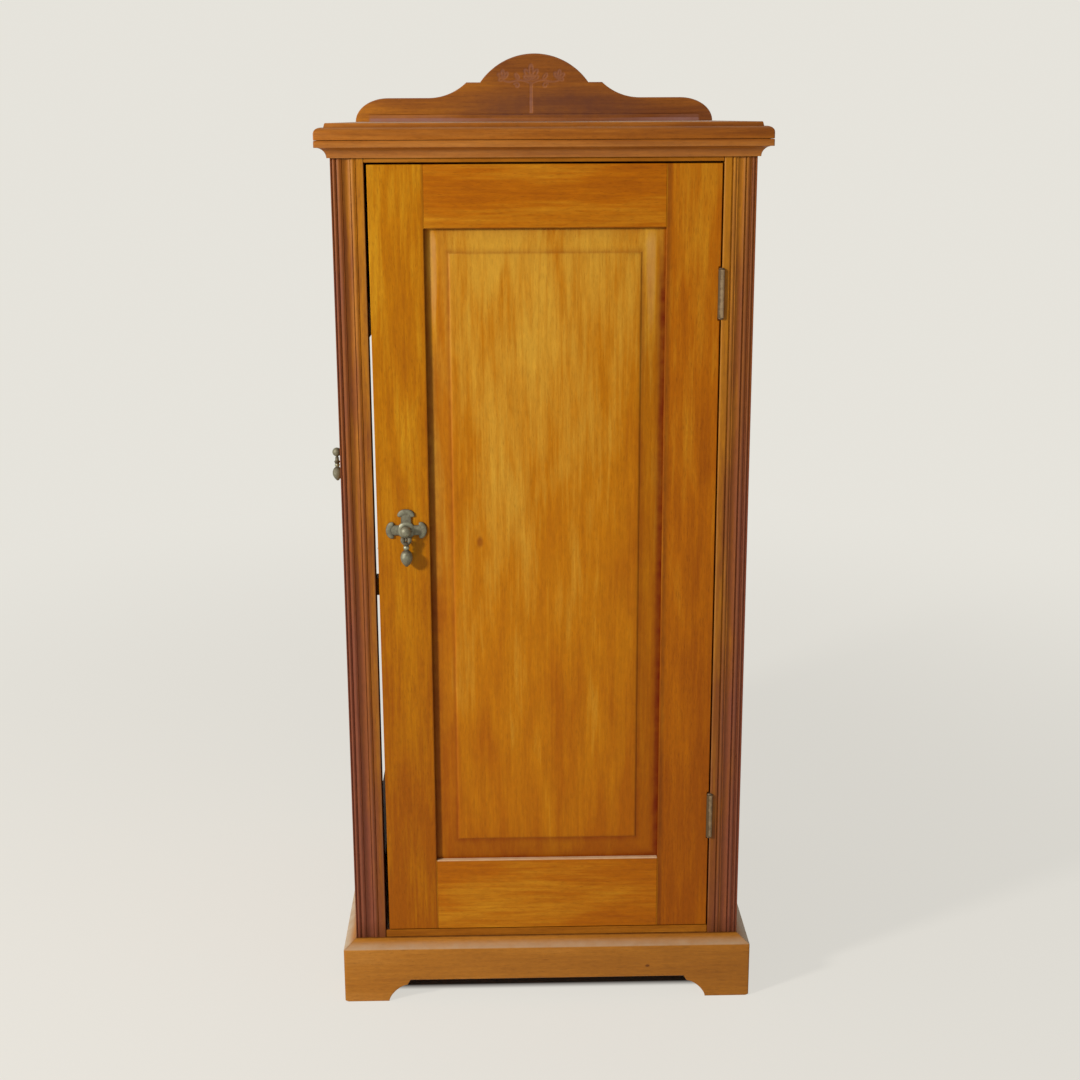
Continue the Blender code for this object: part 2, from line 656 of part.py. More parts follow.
def hang_door(prefix, axis, heights, toward, inward, door):
    """Two hinges. toward points from the axis into the frame, and inward into the gap."""
    reach = HINGE_LENGTH / 2 + CLEARANCE
    upper = [(reach, PIN_RADIUS), (reach, FINIAL_RADIUS * 0.8), (reach + FINIAL_LENGTH / 2, FINIAL_RADIUS),
             (reach + FINIAL_LENGTH, FINIAL_RADIUS / 2)]
    stations = [(-distance, radius) for distance, radius in reversed(upper)] + upper
    frame_cuts, door_cuts = [], []
    for level, height in zip(("_lower_hinge", "_upper_hinge"), heights):
        middle = UP * height
        frame_cuts += hinge_leaf(prefix + level + "_frame_leaf", axis + middle, toward, inward, 0, None)
        door_cuts += hinge_leaf(prefix + level + "_door_leaf", middle, -toward, inward, 1, door)
        piece(prefix + level + "_pin", turned(axis + middle, UP, stations), STEEL, smooth=True)
    return frame_cuts, door_cuts


# Drop handles and latches

def plate_outline():
    """Radius against angle: the furthest of a middle disc and three lobes, round a full turn."""
    lobes = ((SIDE_LOBE_DISTANCE, 0.0), (TOP_LOBE_DISTANCE, 90.0), (SIDE_LOBE_DISTANCE, 180.0))
    points = []
    for i in range(PLATE_POINTS):
        angle = 2 * math.pi * i / PLATE_POINTS
        radius = PLATE_DISC
        for distance, direction in lobes:
            off = angle - math.radians(direction)
            side = distance * math.sin(off)
            if math.cos(off) > 0 and abs(side) < LOBE_RADIUS:
                radius = max(radius, distance * math.cos(off) + math.sqrt(LOBE_RADIUS ** 2 - side ** 2))
        points.append((radius * math.cos(angle), radius * math.sin(angle)))
    return points


def handle_set(prefix, door, at, out, across, tongue_length, tongue_gap, tongue_rest):
    """The plate on a door's face, the knob with its spindle and tongue, and the hanging drop.

    out points out of the face and across to the right, as seen from outside. Returns the
    cutter for the spindle's hole.
    """
    spin = pivot(prefix + "_latch_axis", at, parent=door)
    hang = pivot(prefix + "_drop_axis", out * KNOB_CENTRE - UP * PIVOT_BELOW, parent=spin)

    def lift(point, distance):
        return across * point[0] + UP * point[1] + out * distance

    hole = SPINDLE_RADIUS + SPINDLE_CLEARANCE
    inner = -FRAME_THICKNESS - tongue_gap - TONGUE_THICKNESS
    ream = [(at - out * 2 * FRAME_THICKNESS, at + out * FRAME_THICKNESS)]
    spindle_hole = cutter(prefix + "_spindle_hole", rods(ream, hole), door)
    plate = piece(prefix + "_handle_plate", prism(
        plate_outline(), lambda p, d: at + lift(p, d), CLEARANCE, PLATE_THICKNESS), OLD_BRASS, door)
    cut(plate, spindle_hole)

    flange = PLATE_THICKNESS + CLEARANCE
    stations = [(inner - SPINDLE_TAIL, SPINDLE_RADIUS), (flange, SPINDLE_RADIUS),
                (flange, KNOB_FLANGE_RADIUS), (flange + KNOB_FLANGE_THICKNESS, KNOB_NECK_RADIUS)]
    for i in range(8):
        angle = math.radians(-48 + 133 * i / 7)
        stations.append((KNOB_CENTRE + KNOB_RADIUS * math.sin(angle), KNOB_RADIUS * math.cos(angle)))
    knob = piece(prefix + "_knob", turned((0, 0, 0), out, stations, 16), OLD_BRASS, spin, smooth=True)
    eye = out * KNOB_CENTRE - UP * PIVOT_BELOW
    half_eye = across * EYE_THICKNESS / 2
    half_neck = half_eye + out * EYE_NECK / 2
    neck = (eye - half_neck, eye + half_neck + UP * PIVOT_BELOW / 2)
    join(knob, cutter(prefix + "_eye_neck", blocks(neck), spin),
         cutter(prefix + "_eye", rods([(eye - half_eye, eye + half_eye)], EYE_RADIUS), spin))
    pin_reach = across * FORK_WIDTH
    cut(knob, cutter(prefix + "_eye_bore", rods([(eye - pin_reach, eye + pin_reach)],
                                                DROP_PIN_RADIUS + CLEARANCE), spin))

    toward = -across * math.cos(tongue_rest) - UP * math.sin(tongue_rest)
    side = toward.cross(out)
    plane = -out * (FRAME_THICKNESS + tongue_gap)
    upper = [(-TONGUE_HEEL, TONGUE_WIDTH / 2), (tongue_length - TONGUE_NOSE, TONGUE_WIDTH / 2),
             (tongue_length, TONGUE_TIP_WIDTH / 2)]
    corners = upper + [(x, -y) for x, y in reversed(upper)]
    bar = [[plane - out * depth + toward * x + side * y for x, y in corners]
           for depth in (0.0, TONGUE_THICKNESS)]
    tongue = piece(prefix + "_latch_tongue", loft(*bar), OLD_BRASS, spin)
    cut(tongue, cutter(prefix + "_tongue_hole", rods([(-out * 2 * FRAME_THICKNESS, out * 0)],
                                                     SPINDLE_RADIUS + CLEARANCE), spin))

    drop = piece(prefix + "_drop", turned((0, 0, 0), -UP, DROP_SECTION), OLD_BRASS, hang, smooth=True)
    half_fork = across * FORK_WIDTH / 2
    join(drop, cutter(prefix + "_fork", rods([(-half_fork, half_fork)], FORK_RADIUS), hang))
    half_slot = across * (EYE_THICKNESS / 2 + CLEARANCE)
    slot = (-half_slot - out * 2 * FORK_RADIUS - UP * (EYE_RADIUS + CLEARANCE),
            half_slot + out * 2 * FORK_RADIUS + UP * 2 * FORK_RADIUS)
    cut(drop, cutter(prefix + "_fork_slot", blocks(slot), hang))
    pin_half = half_fork * 0.96
    join(drop, cutter(prefix + "_drop_pin", rods([(-pin_half, pin_half)], DROP_PIN_RADIUS, 8), hang))
    return spindle_hole


def build_doors():
    """Both doors, with their hinges and handles. Returns the hinges' cutters for each pilaster."""
    x, y = Vector((1, 0, 0)), Vector((0, 1, 0))
    door = pivot("front_door_axis", FRONT_AXIS)
    right_cuts, door_cuts = hang_door("front", FRONT_AXIS, FRONT_HINGE_HEIGHTS, x, y, door)
    where = {"parent": door, "place": (DOOR_LEFT - FRONT_AXIS.x, HINGE_PROUD, 0.0)}
    latch_stile, hinge_stile = framed_panel(
        "front_door", (DOOR_RIGHT - DOOR_LEFT, DOOR_BOTTOM, DOOR_TOP), (FRONT_TOP_RAIL, FRONT_BOTTOM_RAIL),
        where, taper=LATCH_GAP_BOTTOM - LATCH_GAP_TOP)
    cut(hinge_stile, *door_cuts)
    at = Vector((DOOR_LEFT + FRONT_HANDLE_INSET, DOOR_FACE, FRONT_HANDLE_HEIGHT)) - FRONT_AXIS
    cut(latch_stile, handle_set("front", door, at, -y, x, FRONT_TONGUE_LENGTH, FRONT_TONGUE_GAP,
                                FRONT_TONGUE_REST))

    door = pivot("side_door_axis", SIDE_AXIS, SIDE_AJAR)
    left_cuts, door_cuts = hang_door("side", SIDE_AXIS, SIDE_HINGE_HEIGHTS, -y, x, door)
    where = {"parent": door, "place": (HINGE_PROUD, BACK_Y - SIDE_AXIS.y, 0.0), "turn": math.radians(-90)}
    latch_stile, hinge_stile = framed_panel(
        "side_door", (BACK_Y - SIDE_DOOR_FRONT, SIDE_DOOR_BOTTOM, SIDE_DOOR_TOP),
        (SIDE_TOP_RAIL, SIDE_BOTTOM_RAIL), where)
    cut(hinge_stile, *door_cuts)
    at = Vector((-SIDE_FACE, BACK_Y - SIDE_HANDLE_INSET, SIDE_HANDLE_HEIGHT)) - SIDE_AXIS
    cut(latch_stile, handle_set("side", door, at, -x, -y, SIDE_TONGUE_LENGTH, SIDE_TONGUE_GAP,
                                SIDE_TONGUE_REST))
    return left_cuts, right_cuts


clear_scene()
build_plinth()
build_carcass()
build_back()
build_shelf()
build_keepers()
build_cornice()
build_pediment()
build_pilasters(build_doors())
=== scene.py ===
import math

import bmesh
import bpy
import numpy as np
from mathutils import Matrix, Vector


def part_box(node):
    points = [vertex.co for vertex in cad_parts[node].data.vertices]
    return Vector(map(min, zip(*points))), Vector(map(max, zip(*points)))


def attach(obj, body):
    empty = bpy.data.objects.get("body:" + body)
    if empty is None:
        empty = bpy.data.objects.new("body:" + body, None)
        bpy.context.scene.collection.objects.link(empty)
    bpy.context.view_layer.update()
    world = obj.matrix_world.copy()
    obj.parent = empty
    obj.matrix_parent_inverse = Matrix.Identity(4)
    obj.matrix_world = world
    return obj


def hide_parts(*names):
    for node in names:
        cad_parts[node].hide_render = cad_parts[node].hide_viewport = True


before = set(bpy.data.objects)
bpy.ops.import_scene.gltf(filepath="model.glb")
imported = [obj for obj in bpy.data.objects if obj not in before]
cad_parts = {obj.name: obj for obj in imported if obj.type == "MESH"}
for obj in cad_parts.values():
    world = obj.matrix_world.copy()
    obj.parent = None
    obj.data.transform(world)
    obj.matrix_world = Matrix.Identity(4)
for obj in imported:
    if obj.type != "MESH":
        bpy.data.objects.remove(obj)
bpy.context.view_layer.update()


# Plinth: three walnut boards round the foot of the cupboard, mitred at the front corners. Each has
# a top slope painted pale as sheen and a bracket cut that leaves a foot at each end, and is glued
# to the blocks behind it.
CARCASS = "carcass"
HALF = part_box("right_pilaster")[1].x
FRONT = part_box("right_pilaster")[0].y
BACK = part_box("plinth_back")[1].y
JOINT = 0.0002
PLINTH_OUT, PLINTH_IN = 0.0145, -0.0095
FACE_TOP, PLINTH_TOP = 0.0683, 0.0772
FOOT, ARCH_WIDTH, ARCH_HEIGHT = 0.053, 0.0224, 0.0213
STEP_RUN, APRON = 0.0038, 0.0276
ARRIS = 0.0011


def degrees(start, end, count):
    """Evenly spaced angles in radians, between two that are given in degrees."""
    return np.radians(np.linspace(start, end, count))


def full_turn(count):
    """Even angles once round a circle, from zero, without the repeat at its end."""
    return np.linspace(0, 2 * math.pi, count, endpoint=False)


def points(x, y, z):
    """Places from their three coordinates, which are spread to one shape."""
    return np.stack(np.broadcast_arrays(x, y, z), axis=-1)


def feed(tree, node, feeds):
    """Gives each named input a plain value or another node's output."""
    for key, value in feeds.items():
        if isinstance(value, bpy.types.NodeSocket):
            tree.links.new(value, node.inputs[key])
        else:
            node.inputs[key].default_value = value


def wire(tree, kind, feeds=None, out=0, **fields):
    """Adds a shader node with its inputs fed, and returns one of its outputs."""
    made = tree.nodes.new(f"ShaderNode{kind}")
    for field, value in fields.items():
        setattr(made, field, value)
    feed(tree, made, feeds or {})
    return made.outputs[out]


def new_paint(name):
    """A material with its node tree and the shader in it."""
    made = bpy.data.materials.new(name)
    made.use_nodes = True
    return made, made.node_tree, made.node_tree.nodes["Principled BSDF"]


def drawn_noise(tree, place, lengths, seed, detail=2.0, roughness=0.5, distortion=0.0):
    """Cloudy noise whose patches have the given lengths along x, y and z, in metres."""
    moved = wire(tree, "Mapping", {
        "Vector": place, "Location": (seed * 3.7, seed * 5.3, seed * 7.1),
        "Scale": [1.0 / length for length in lengths]})
    return wire(tree, "TexNoise", {
        "Vector": moved, "Scale": 1.0, "Detail": detail, "Roughness": roughness, "Distortion": distortion})


def grain_noise(tree, place, grain, along, across, *settings):
    """Noise with one patch length along the grain and another across it, both ways."""
    return drawn_noise(tree, place, [along if axis == grain else across for axis in "xyz"], *settings)


def reckon(tree, operation, *values, clamp=False):
    """Arithmetic in a shader, on numbers and on other nodes' outputs."""
    return wire(tree, "Math", dict(enumerate(values)), operation=operation, use_clamp=clamp)


def blend_colour(tree, share, first, second):
    """Goes from the first colour at a share of zero to the second at one."""
    return wire(tree, "Mix", {0: share, 6: first, 7: second}, 2, data_type="RGBA")


def polished_wood(name, grain, tones, seed, lean=(), marks=(), broad=1.0, clouds=1.0, streaks=1.0,
                  pores=0.35, dust_and_sheen=(0.50, 0.27, 0.10), dirt_and_shade=(0.085, 0.020, 0.003), shine=0.14,
                  coat=0.10, roughness=0.40, turn=0.0):
    """French-polished wood. The tone is the sum of three noises that are drawn out along the grain,
    broad bands, soft clouds and close streaks, and it runs through the three tones from deep to
    light. Each lean adds a slow change of tone along one axis, from a place on it, and some leans
    are painted light and sheen. A finer noise mottles the brightness, and pores are short dark
    strokes. A value from the mesh, to which each mark adds some round a place over its own reach
    along x, y and z, blends the colour: above zero towards the dark colour given, which stands for
    dirt and also for painted shade, and below zero towards the pale colour given, which stands for
    wear and dust and also for painted sheen and highlights.
    """
    made, tree, shader = new_paint(name)
    place = wire(tree, "TexCoord", out="Object")
    turned = wire(tree, "Mapping", {"Vector": place, "Rotation": (0.0, 0.0, turn)})
    band = grain_noise(tree, turned, grain, 0.55, 0.055, seed, 1.0, 0.5, 0.2)
    cloud = grain_noise(tree, turned, grain, 0.13, 0.024, seed + 1.3, 2.0, 0.5, 0.4)
    streak = grain_noise(tree, turned, grain, 0.075, 0.0038, seed + 2.1, 3.0, 0.6, 0.2)
    mottle = grain_noise(tree, turned, grain, 0.010, 0.0032, seed + 3.3, 2.0, 0.6)
    fleck = grain_noise(tree, turned, grain, 0.008, 0.0006, seed + 4.7, 1.0, 0.5)
    tone = 0.5 - 0.375 * broad - 0.40 * clouds - 0.35 * streaks
    for noise, weight in ((band, 0.75 * broad), (cloud, 0.80 * clouds), (streak, 0.70 * streaks)):
        tone = reckon(tree, "MULTIPLY_ADD", noise, weight, tone)
    split = wire(tree, "SeparateXYZ", {"Vector": place}).node.outputs
    for axis, slope, middle in lean:
        away = reckon(tree, "SUBTRACT", split["xyz".index(axis)], middle)
        tone = reckon(tree, "MULTIPLY_ADD", away, slope, tone)
    colour = wire(tree, "ValToRGB", {"Fac": tone})
    ramp = colour.node.color_ramp.elements
    ramp.new(0.5)
    for stop, level, shade in zip(ramp, (0.12, 0.5, 0.88), tones):
        stop.position, stop.color = level, (*shade, 1.0)
    bright = reckon(tree, "MULTIPLY_ADD", mottle, 0.34, 0.74)
    bright = reckon(tree, "MULTIPLY_ADD", streak, 0.18, bright)
    colour = wire(tree, "HueSaturation", {"Value": bright, "Color": colour})
    open_pores = wire(tree, "MapRange", {
        "Value": fleck, "From Min": 0.42, "From Max": 0.27, "To Min": 0.0, "To Max": pores},
        interpolation_type="SMOOTHSTEP")
    colour = blend_colour(tree, open_pores, colour, (*(0.45 * c for c in tones[0]), 1.0))
    age_and_shading = wire(tree, "Attribute", out="Fac", attribute_name="age_and_shading")
    for centre, reach, strength in marks:
        moved = wire(tree, "VectorMath", {0: place, 1: centre}, operation="SUBTRACT")
        moved = wire(tree, "VectorMath", {0: moved, 1: reach}, operation="DIVIDE")
        away = wire(tree, "VectorMath", {0: moved}, "Value", operation="LENGTH")
        near = wire(tree, "MapRange", {
            "Value": away, "From Min": 1.0, "From Max": 0.3, "To Min": 0.0, "To Max": strength},
            interpolation_type="SMOOTHSTEP")
        age_and_shading = reckon(tree, "ADD", age_and_shading, near)
    patchy = drawn_noise(tree, place, (0.014, 0.014, 0.014), seed + 9.1, 2.0)
    age_and_shading = reckon(tree, "MULTIPLY", age_and_shading, reckon(tree, "MULTIPLY_ADD", patchy, 0.9, 0.5))
    # Above zero the value paints dirt and also painted shade; below zero it paints wear and dust and also
    # painted sheen and highlights.
    dirt_and_shade_share = reckon(tree, "MAXIMUM", age_and_shading, 0.0, clamp=True)
    lightened = reckon(tree, "MAXIMUM", reckon(tree, "MULTIPLY", age_and_shading, -1.0), 0.0, clamp=True)
    colour = blend_colour(tree, dirt_and_shade_share, colour, (*dirt_and_shade, 1.0))
    colour = blend_colour(tree, lightened, colour, (*dust_and_sheen, 1.0))
    rough = reckon(tree, "MULTIPLY_ADD", cloud, 0.16, roughness - 0.08)
    rough = reckon(tree, "MULTIPLY_ADD", dirt_and_shade_share, 0.25, rough)
    height = reckon(tree, "MULTIPLY_ADD", streak, 0.35, reckon(tree, "MULTIPLY", open_pores, -0.7))
    bump = wire(tree, "Bump", {"Height": height, "Strength": 0.20, "Distance": 0.0006})
    feed(tree, shader, {
        "Base Color": colour, "Roughness": rough, "Normal": bump, "Specular IOR Level": shine,
        "Coat Weight": coat, "Coat Roughness": 0.20})
    return made


def show(name, data):
    """Puts a mesh, a lamp or a camera into the scene as an object."""
    made = bpy.data.objects.new(name, data)
    bpy.context.scene.collection.objects.link(made)
    return made


def ring_faces(index, rows):
    """Four-sided faces that join the neighbours along and round a shell."""
    beside = np.roll(index, -1, axis=1)
    corners = (index, beside, np.roll(beside, -1, axis=0), np.roll(index, -1, axis=0))
    return np.stack(corners, axis=-1)[:rows].reshape(-1, 4).tolist()


def put_together(name, shells, finish, body, stands_for=(), smooth=35.0):
    """Makes one piece of closed shells and gives it to its body.

    A shell is (rings, age_and_shading, ends), where the middle one gives each point a value that
    paints dirt, wear, painted shade and painted highlights. rings[i, j] is the place of step i along
    the shell and step j round it. ends is "flat" where each end ring gets a face of its own, and
    "loop" where the last ring joins the first.
    """
    places, ages, faces, start = [], [], [], 0
    for rings, age_and_shading, ends in shells:
        along, about = rings.shape[:2]
        index = start + np.arange(along * about).reshape(along, about)
        faces += ring_faces(index, along if ends == "loop" else along - 1)
        if ends == "flat":
            faces += [index[0].tolist(), index[-1].tolist()]
        places.append(rings.reshape(-1, 3))
        ages.append(np.broadcast_to(age_and_shading, (along, about)).ravel())
        start += along * about
    mesh = bpy.data.meshes.new(name)
    mesh.from_pydata(np.concatenate(places).tolist(), [], faces)
    mesh.attributes.new("age_and_shading", "FLOAT", "POINT").data.foreach_set(
        "value", np.concatenate(ages).astype(np.float32))
    bm = bmesh.new()
    bm.from_mesh(mesh)
    bmesh.ops.remove_doubles(bm, verts=bm.verts, dist=1e-6)
    bmesh.ops.recalc_face_normals(bm, faces=bm.faces)
    bm.to_mesh(mesh)
    bm.free()
    mesh.shade_smooth()
    mesh.set_sharp_from_angle(angle=math.radians(smooth))
    mesh.materials.append(finish)
    made = show(name, mesh)
    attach(made, body)
    if stands_for:
        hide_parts(*stands_for)


def bracket_line(length, near, far):
    """Stations along a plinth board from end to end, with the height of its lower edge there. From
    the middle outwards it is a level apron, a small sloped step, then a flattened quarter round.
    near and far are the stations on the two feet, measured from the middle."""
    haunch = length / 2 - FOOT - ARCH_WIDTH
    turn = degrees(90, 0, 16)
    along = np.r_[np.linspace(0, haunch - STEP_RUN, 7), haunch + ARCH_WIDTH * np.cos(turn).clip(0) ** 1.3]
    height = np.r_[np.full(7, APRON), ARCH_HEIGHT * np.sin(turn) ** 1.3]
    return (np.r_[-near[::-1], -along[:0:-1], along, far],
            np.r_[np.zeros(3), height[:0:-1], height, np.zeros(3)])


def plinth_section(low):
    """Projection, height and shading value round a plinth board, for each height of the lower edge.
    The values below zero paint the top slope pale, as sheen.
    """
    low = low[:, None]
    turn = degrees(0, 90, 5)
    depth = np.r_[
        PLINTH_OUT - ARRIS + ARRIS * np.sin(turn), np.full(7, PLINTH_OUT), PLINTH_OUT - 0.0002,
        PLINTH_OUT - 0.0007, np.linspace(0.013, 0.0012, 4), 0.0, PLINTH_IN + 0.0005,
        np.full(4, PLINTH_IN), -0.002, 0.006]
    slope = np.r_[FACE_TOP - 0.0001, FACE_TOP + 0.0004,
                  np.linspace(FACE_TOP + 0.0009, PLINTH_TOP - 0.0006, 4), PLINTH_TOP, PLINTH_TOP]
    height = np.hstack((
        low + ARRIS - ARRIS * np.cos(turn),
        low + ARRIS + (FACE_TOP - 0.0006 - low - ARRIS) * np.linspace(0.08, 1, 7), 0 * low + slope,
        PLINTH_TOP - 0.0005 + (low - PLINTH_TOP + 0.0005) * np.linspace(0, 1, 4), low, low))
    age_and_shading = np.r_[0.5, 0.3, 0.1, np.zeros(9), -0.35, -0.70, -0.75, -0.55, -0.12, 0.15, 0.8, 0.4, np.zeros(6)]
    return depth, height, age_and_shading


def round_corner(depth, height, last, end, arris):
    """Carries a section round the last of a front corner to its mitre. Points within the arris of
    the outside go round an eighth of a circle, and deeper ones go straight to the mitre."""
    share = np.array([0.1, 0.2, 0.4, 0.6, 0.8, 1.0])[:, None]
    turn = (share > 0.1) * share * math.pi / 4
    centre = depth.max() - arris
    reach = depth - centre
    straight = end + centre - 0.0024 * (share < 0.2)
    along = np.where(reach > 0, straight + reach * np.sin(turn), last + (end + depth - last) * share)
    out = np.where(reach > 0, centre + reach * np.cos(turn), depth)
    return along, out, np.broadcast_to(height, along.shape)


def run_rings(along, depth, height, place, mitres, end, arris=ARRIS):
    """Rings of a run whose section has the given depths and heights at each station along it.
    mitres says whether its lower and upper ends are carried round a corner, where end is the
    distance to the corner of the carcass."""
    run = np.broadcast_arrays(along[:, None], depth, height)
    for side, mitred in zip((-1, 1), mitres):
        if mitred:
            last, out, high = (part[0 if side < 0 else -1] for part in run)
            corner = round_corner(out, high, side * last, end, arris)
            run = [np.concatenate((part[::-1], whole) if side < 0 else (whole, part))
                   for part, whole in zip((side * corner[0], *corner[1:]), run)]
    return place(*run)


def front_place(along, out, height):
    """A front run lies across the cupboard, drawn in by a hair's breadth at its ends."""
    return points(along * (1 - JOINT / HALF), FRONT - out, height)


def side_place(side, middle):
    """A side run goes from the mitre at the front to the back of the cupboard."""
    return lambda along, out, height: points(side * (HALF + out), middle + along + JOINT, height)


def plinth_board(word, length, near, far, place, mitres, end, finish):
    """A board whose lowest points near a front corner are lifted, where the foot is worn round."""
    stations, lower = bracket_line(length, near, far)
    depth, height, age_and_shading = plinth_section(lower)
    rings = run_rings(stations, depth, height, place, mitres, end)
    away = np.hypot(HALF + PLINTH_OUT - np.abs(rings[..., 0]), rings[..., 1] - FRONT + PLINTH_OUT)
    rings[..., 2] = np.maximum(rings[..., 2], 0.0026 * np.clip(1 - away / 0.0050, 0, 1) ** 2)
    put_together(f"plinth_{word}_board", [(rings, age_and_shading, "flat")], finish, CARCASS,
                 [f"plinth_{word}"])


PLINTH_TONES = ((0.285, 0.098, 0.009), (0.365, 0.136, 0.013), (0.44, 0.185, 0.030))
DENTS = (((0.121, FRONT - PLINTH_OUT, 0.042), (0.004, 0.01, 0.0026), 0.8),
         ((-0.002, FRONT - PLINTH_OUT, 0.052), (0.006, 0.01, 0.0012), 0.35))
foot = np.array([0.200, 0.210, HALF + PLINTH_IN - 0.003])
plinth_board("front", 2 * (HALF + PLINTH_OUT), foot, foot, front_place, (True, True), HALF, polished_wood(
    "plinth_front_walnut", "x", PLINTH_TONES, 1.0, (("x", -0.5, 0.0),), DENTS, clouds=0.7, streaks=0.6,
    dust_and_sheen=(0.44, 0.295, 0.175)))
half_side = (BACK - FRONT + PLINTH_OUT) / 2
for side, word, seed in ((-1, "left", 2.0), (1, "right", 3.0)):
    # The side boards' top slopes take a paler colour still: painted glare.
    plinth_board(
        word, 2 * half_side, half_side - np.array([0.044, 0.034, 0.0265]),
        half_side - np.array([0.040, 0.020, JOINT]), side_place(side, BACK - half_side), (True, False),
        half_side - PLINTH_OUT, polished_wood(f"plinth_{word}_walnut", "y", PLINTH_TONES, seed, clouds=0.7,
                                              streaks=0.6, dust_and_sheen=(0.50, 0.42, 0.29)))


# Plinth's back board, corner blocks and the floor board: plain sawn pine, which was never polished.
# The blocks are glued and rubbed into the corners, and the floor sits on them.
PINE_TONES = ((0.24, 0.125, 0.052), (0.36, 0.205, 0.092), (0.46, 0.285, 0.145))


def sawn_pine(name, grain, seed):
    """Dry pine with saw marks across the grain and a dusty surface."""
    made = polished_wood(name, grain, PINE_TONES, seed, clouds=0.6, streaks=1.6, pores=0.25, shine=0.2,
                         coat=0.0, roughness=0.72)
    tree = made.node_tree
    shader = tree.nodes["Principled BSDF"]
    marks = grain_noise(tree, wire(tree, "TexCoord", out="Object"), grain, 0.0016, 0.03, seed, 1.0, 0.5, 0.4)
    feed(tree, shader, {"Normal": wire(tree, "Bump", {
        "Height": marks, "Strength": 0.18, "Distance": 0.0005,
        "Normal": shader.inputs["Normal"].links[0].from_socket})})
    return made


def refinish(node, finish):
    """Gives a carried-over solid its finish."""
    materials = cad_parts[node].data.materials
    materials.clear()
    materials.append(finish)


def leave_sawn(first_seed, *boards):
    """Gives each board, a node with its grain, a pine of its own."""
    for step, (node, grain) in enumerate(boards):
        refinish(node, sawn_pine(f"{node}_pine", grain, first_seed + step))


leave_sawn(10.0, ("plinth_back", "x"), ("left_plinth_block", "z"), ("right_plinth_block", "z"),
           ("floor_board", "x"))


# Pilasters: two reeded walnut strips up the front corners, the full height of the carcass. Each
# was run with a moulding plane, so its section is the same all the way up.
PILASTER_TONES = ((0.180, 0.048, 0.022), (0.216, 0.062, 0.008), (0.400, 0.150, 0.006))
PILASTER_STRIPS = (("flat", 7.8), ("quirk", 1.1), ("reed", 4.9), ("flute", 8.6), ("quirk", 1.1),
                   ("reed", 5.2), ("quirk", 1.1), ("reed", 3.6), ("quirk", 1.1), ("flat", 1.0))
QUIRK_DEPTH, REED_RISE, FLUTE_SINK = 0.0009, 0.0009, 0.0013
HINGE_LENGTH, KNUCKLE, LEAF_WIDTH, LEAF = 0.053, 0.0035, 0.015, 0.0012
HINGE_END = HINGE_LENGTH / 2 + 0.0003
LEAF_SEAT = LEAF + 0.00045
FRONT_HINGES, SIDE_HINGES = (0.2304, 0.8478), (0.200, 0.672)
FRONT_AXIS, SIDE_AXIS = np.array([0.1937, -0.4815, 0.0]), np.array([-0.2275, -0.4582, 0.0])
X, Y, UP = np.eye(3)


def moulded_section():
    """Across and depth of the pilaster's section, with a value for each point that darkens the quirks
    and lightens the reeds' crowns. Each reed is a half wave out of the face, the flute a half wave
    into it, and each quirk a narrow half ellipse."""
    across, depth, age_and_shading, start = [0.0], [0.0], [-0.1], 0.0
    for kind, millimetres in PILASTER_STRIPS:
        width = millimetres / 1000
        count = {"flat": 4, "quirk": 7, "reed": 12, "flute": 14}[kind]
        share = np.linspace(0, 1, count + 1)[1:]
        wave = np.sin(math.pi * share)
        sunk, dirt_and_shade = {
            "flat": (0 * wave, 0 * wave),
            "quirk": (QUIRK_DEPTH * np.sqrt(np.clip(1 - (2 * share - 1) ** 2, 0, 1)),
                      np.where(wave > 0.3, 0.16, 0.08)),
            "reed": (REED_RISE * (1 - wave), 0.10 - 0.16 * wave),
            "flute": (FLUTE_SINK * wave, 0.05 * wave)}[kind]
        across, depth, age_and_shading = np.r_[across, start + width * share], np.r_[depth, sunk], np.r_[age_and_shading, dirt_and_shade]
        start += width
    return across, depth, age_and_shading, start


def let_in(places, axis, toward, inward):
    """Pushes points out of the room that a hinge takes: a round of the knuckle's size about its
    axis, and a flat seat for the leaf behind it."""
    away = places - axis
    a, b = away @ toward, away @ inward
    seat = (a < LEAF_SEAT) & (a > -0.002) & (b > 0) & (b < LEAF_WIDTH + 0.0004)
    places = places + np.where(seat, LEAF_SEAT - a, 0.0)[..., None] * toward
    away = (places - axis) * (1 - UP)
    far = np.linalg.norm(away, axis=-1)
    room = KNUCKLE + 0.0003
    scale = np.where(far < room, room / np.maximum(far, 1e-6), 1.0)
    return axis * (1 - UP) + away * scale[..., None] + places * UP


def hinge_stations(low, high, heights):
    """Heights up a strip, with a close pair at each end of each hinge."""
    edges = [h + s * HINGE_END + d for h in heights for s in (-1, 1) for d in (-2e-5, 2e-5)]
    return np.unique(np.r_[np.linspace(low, high, 44), edges])


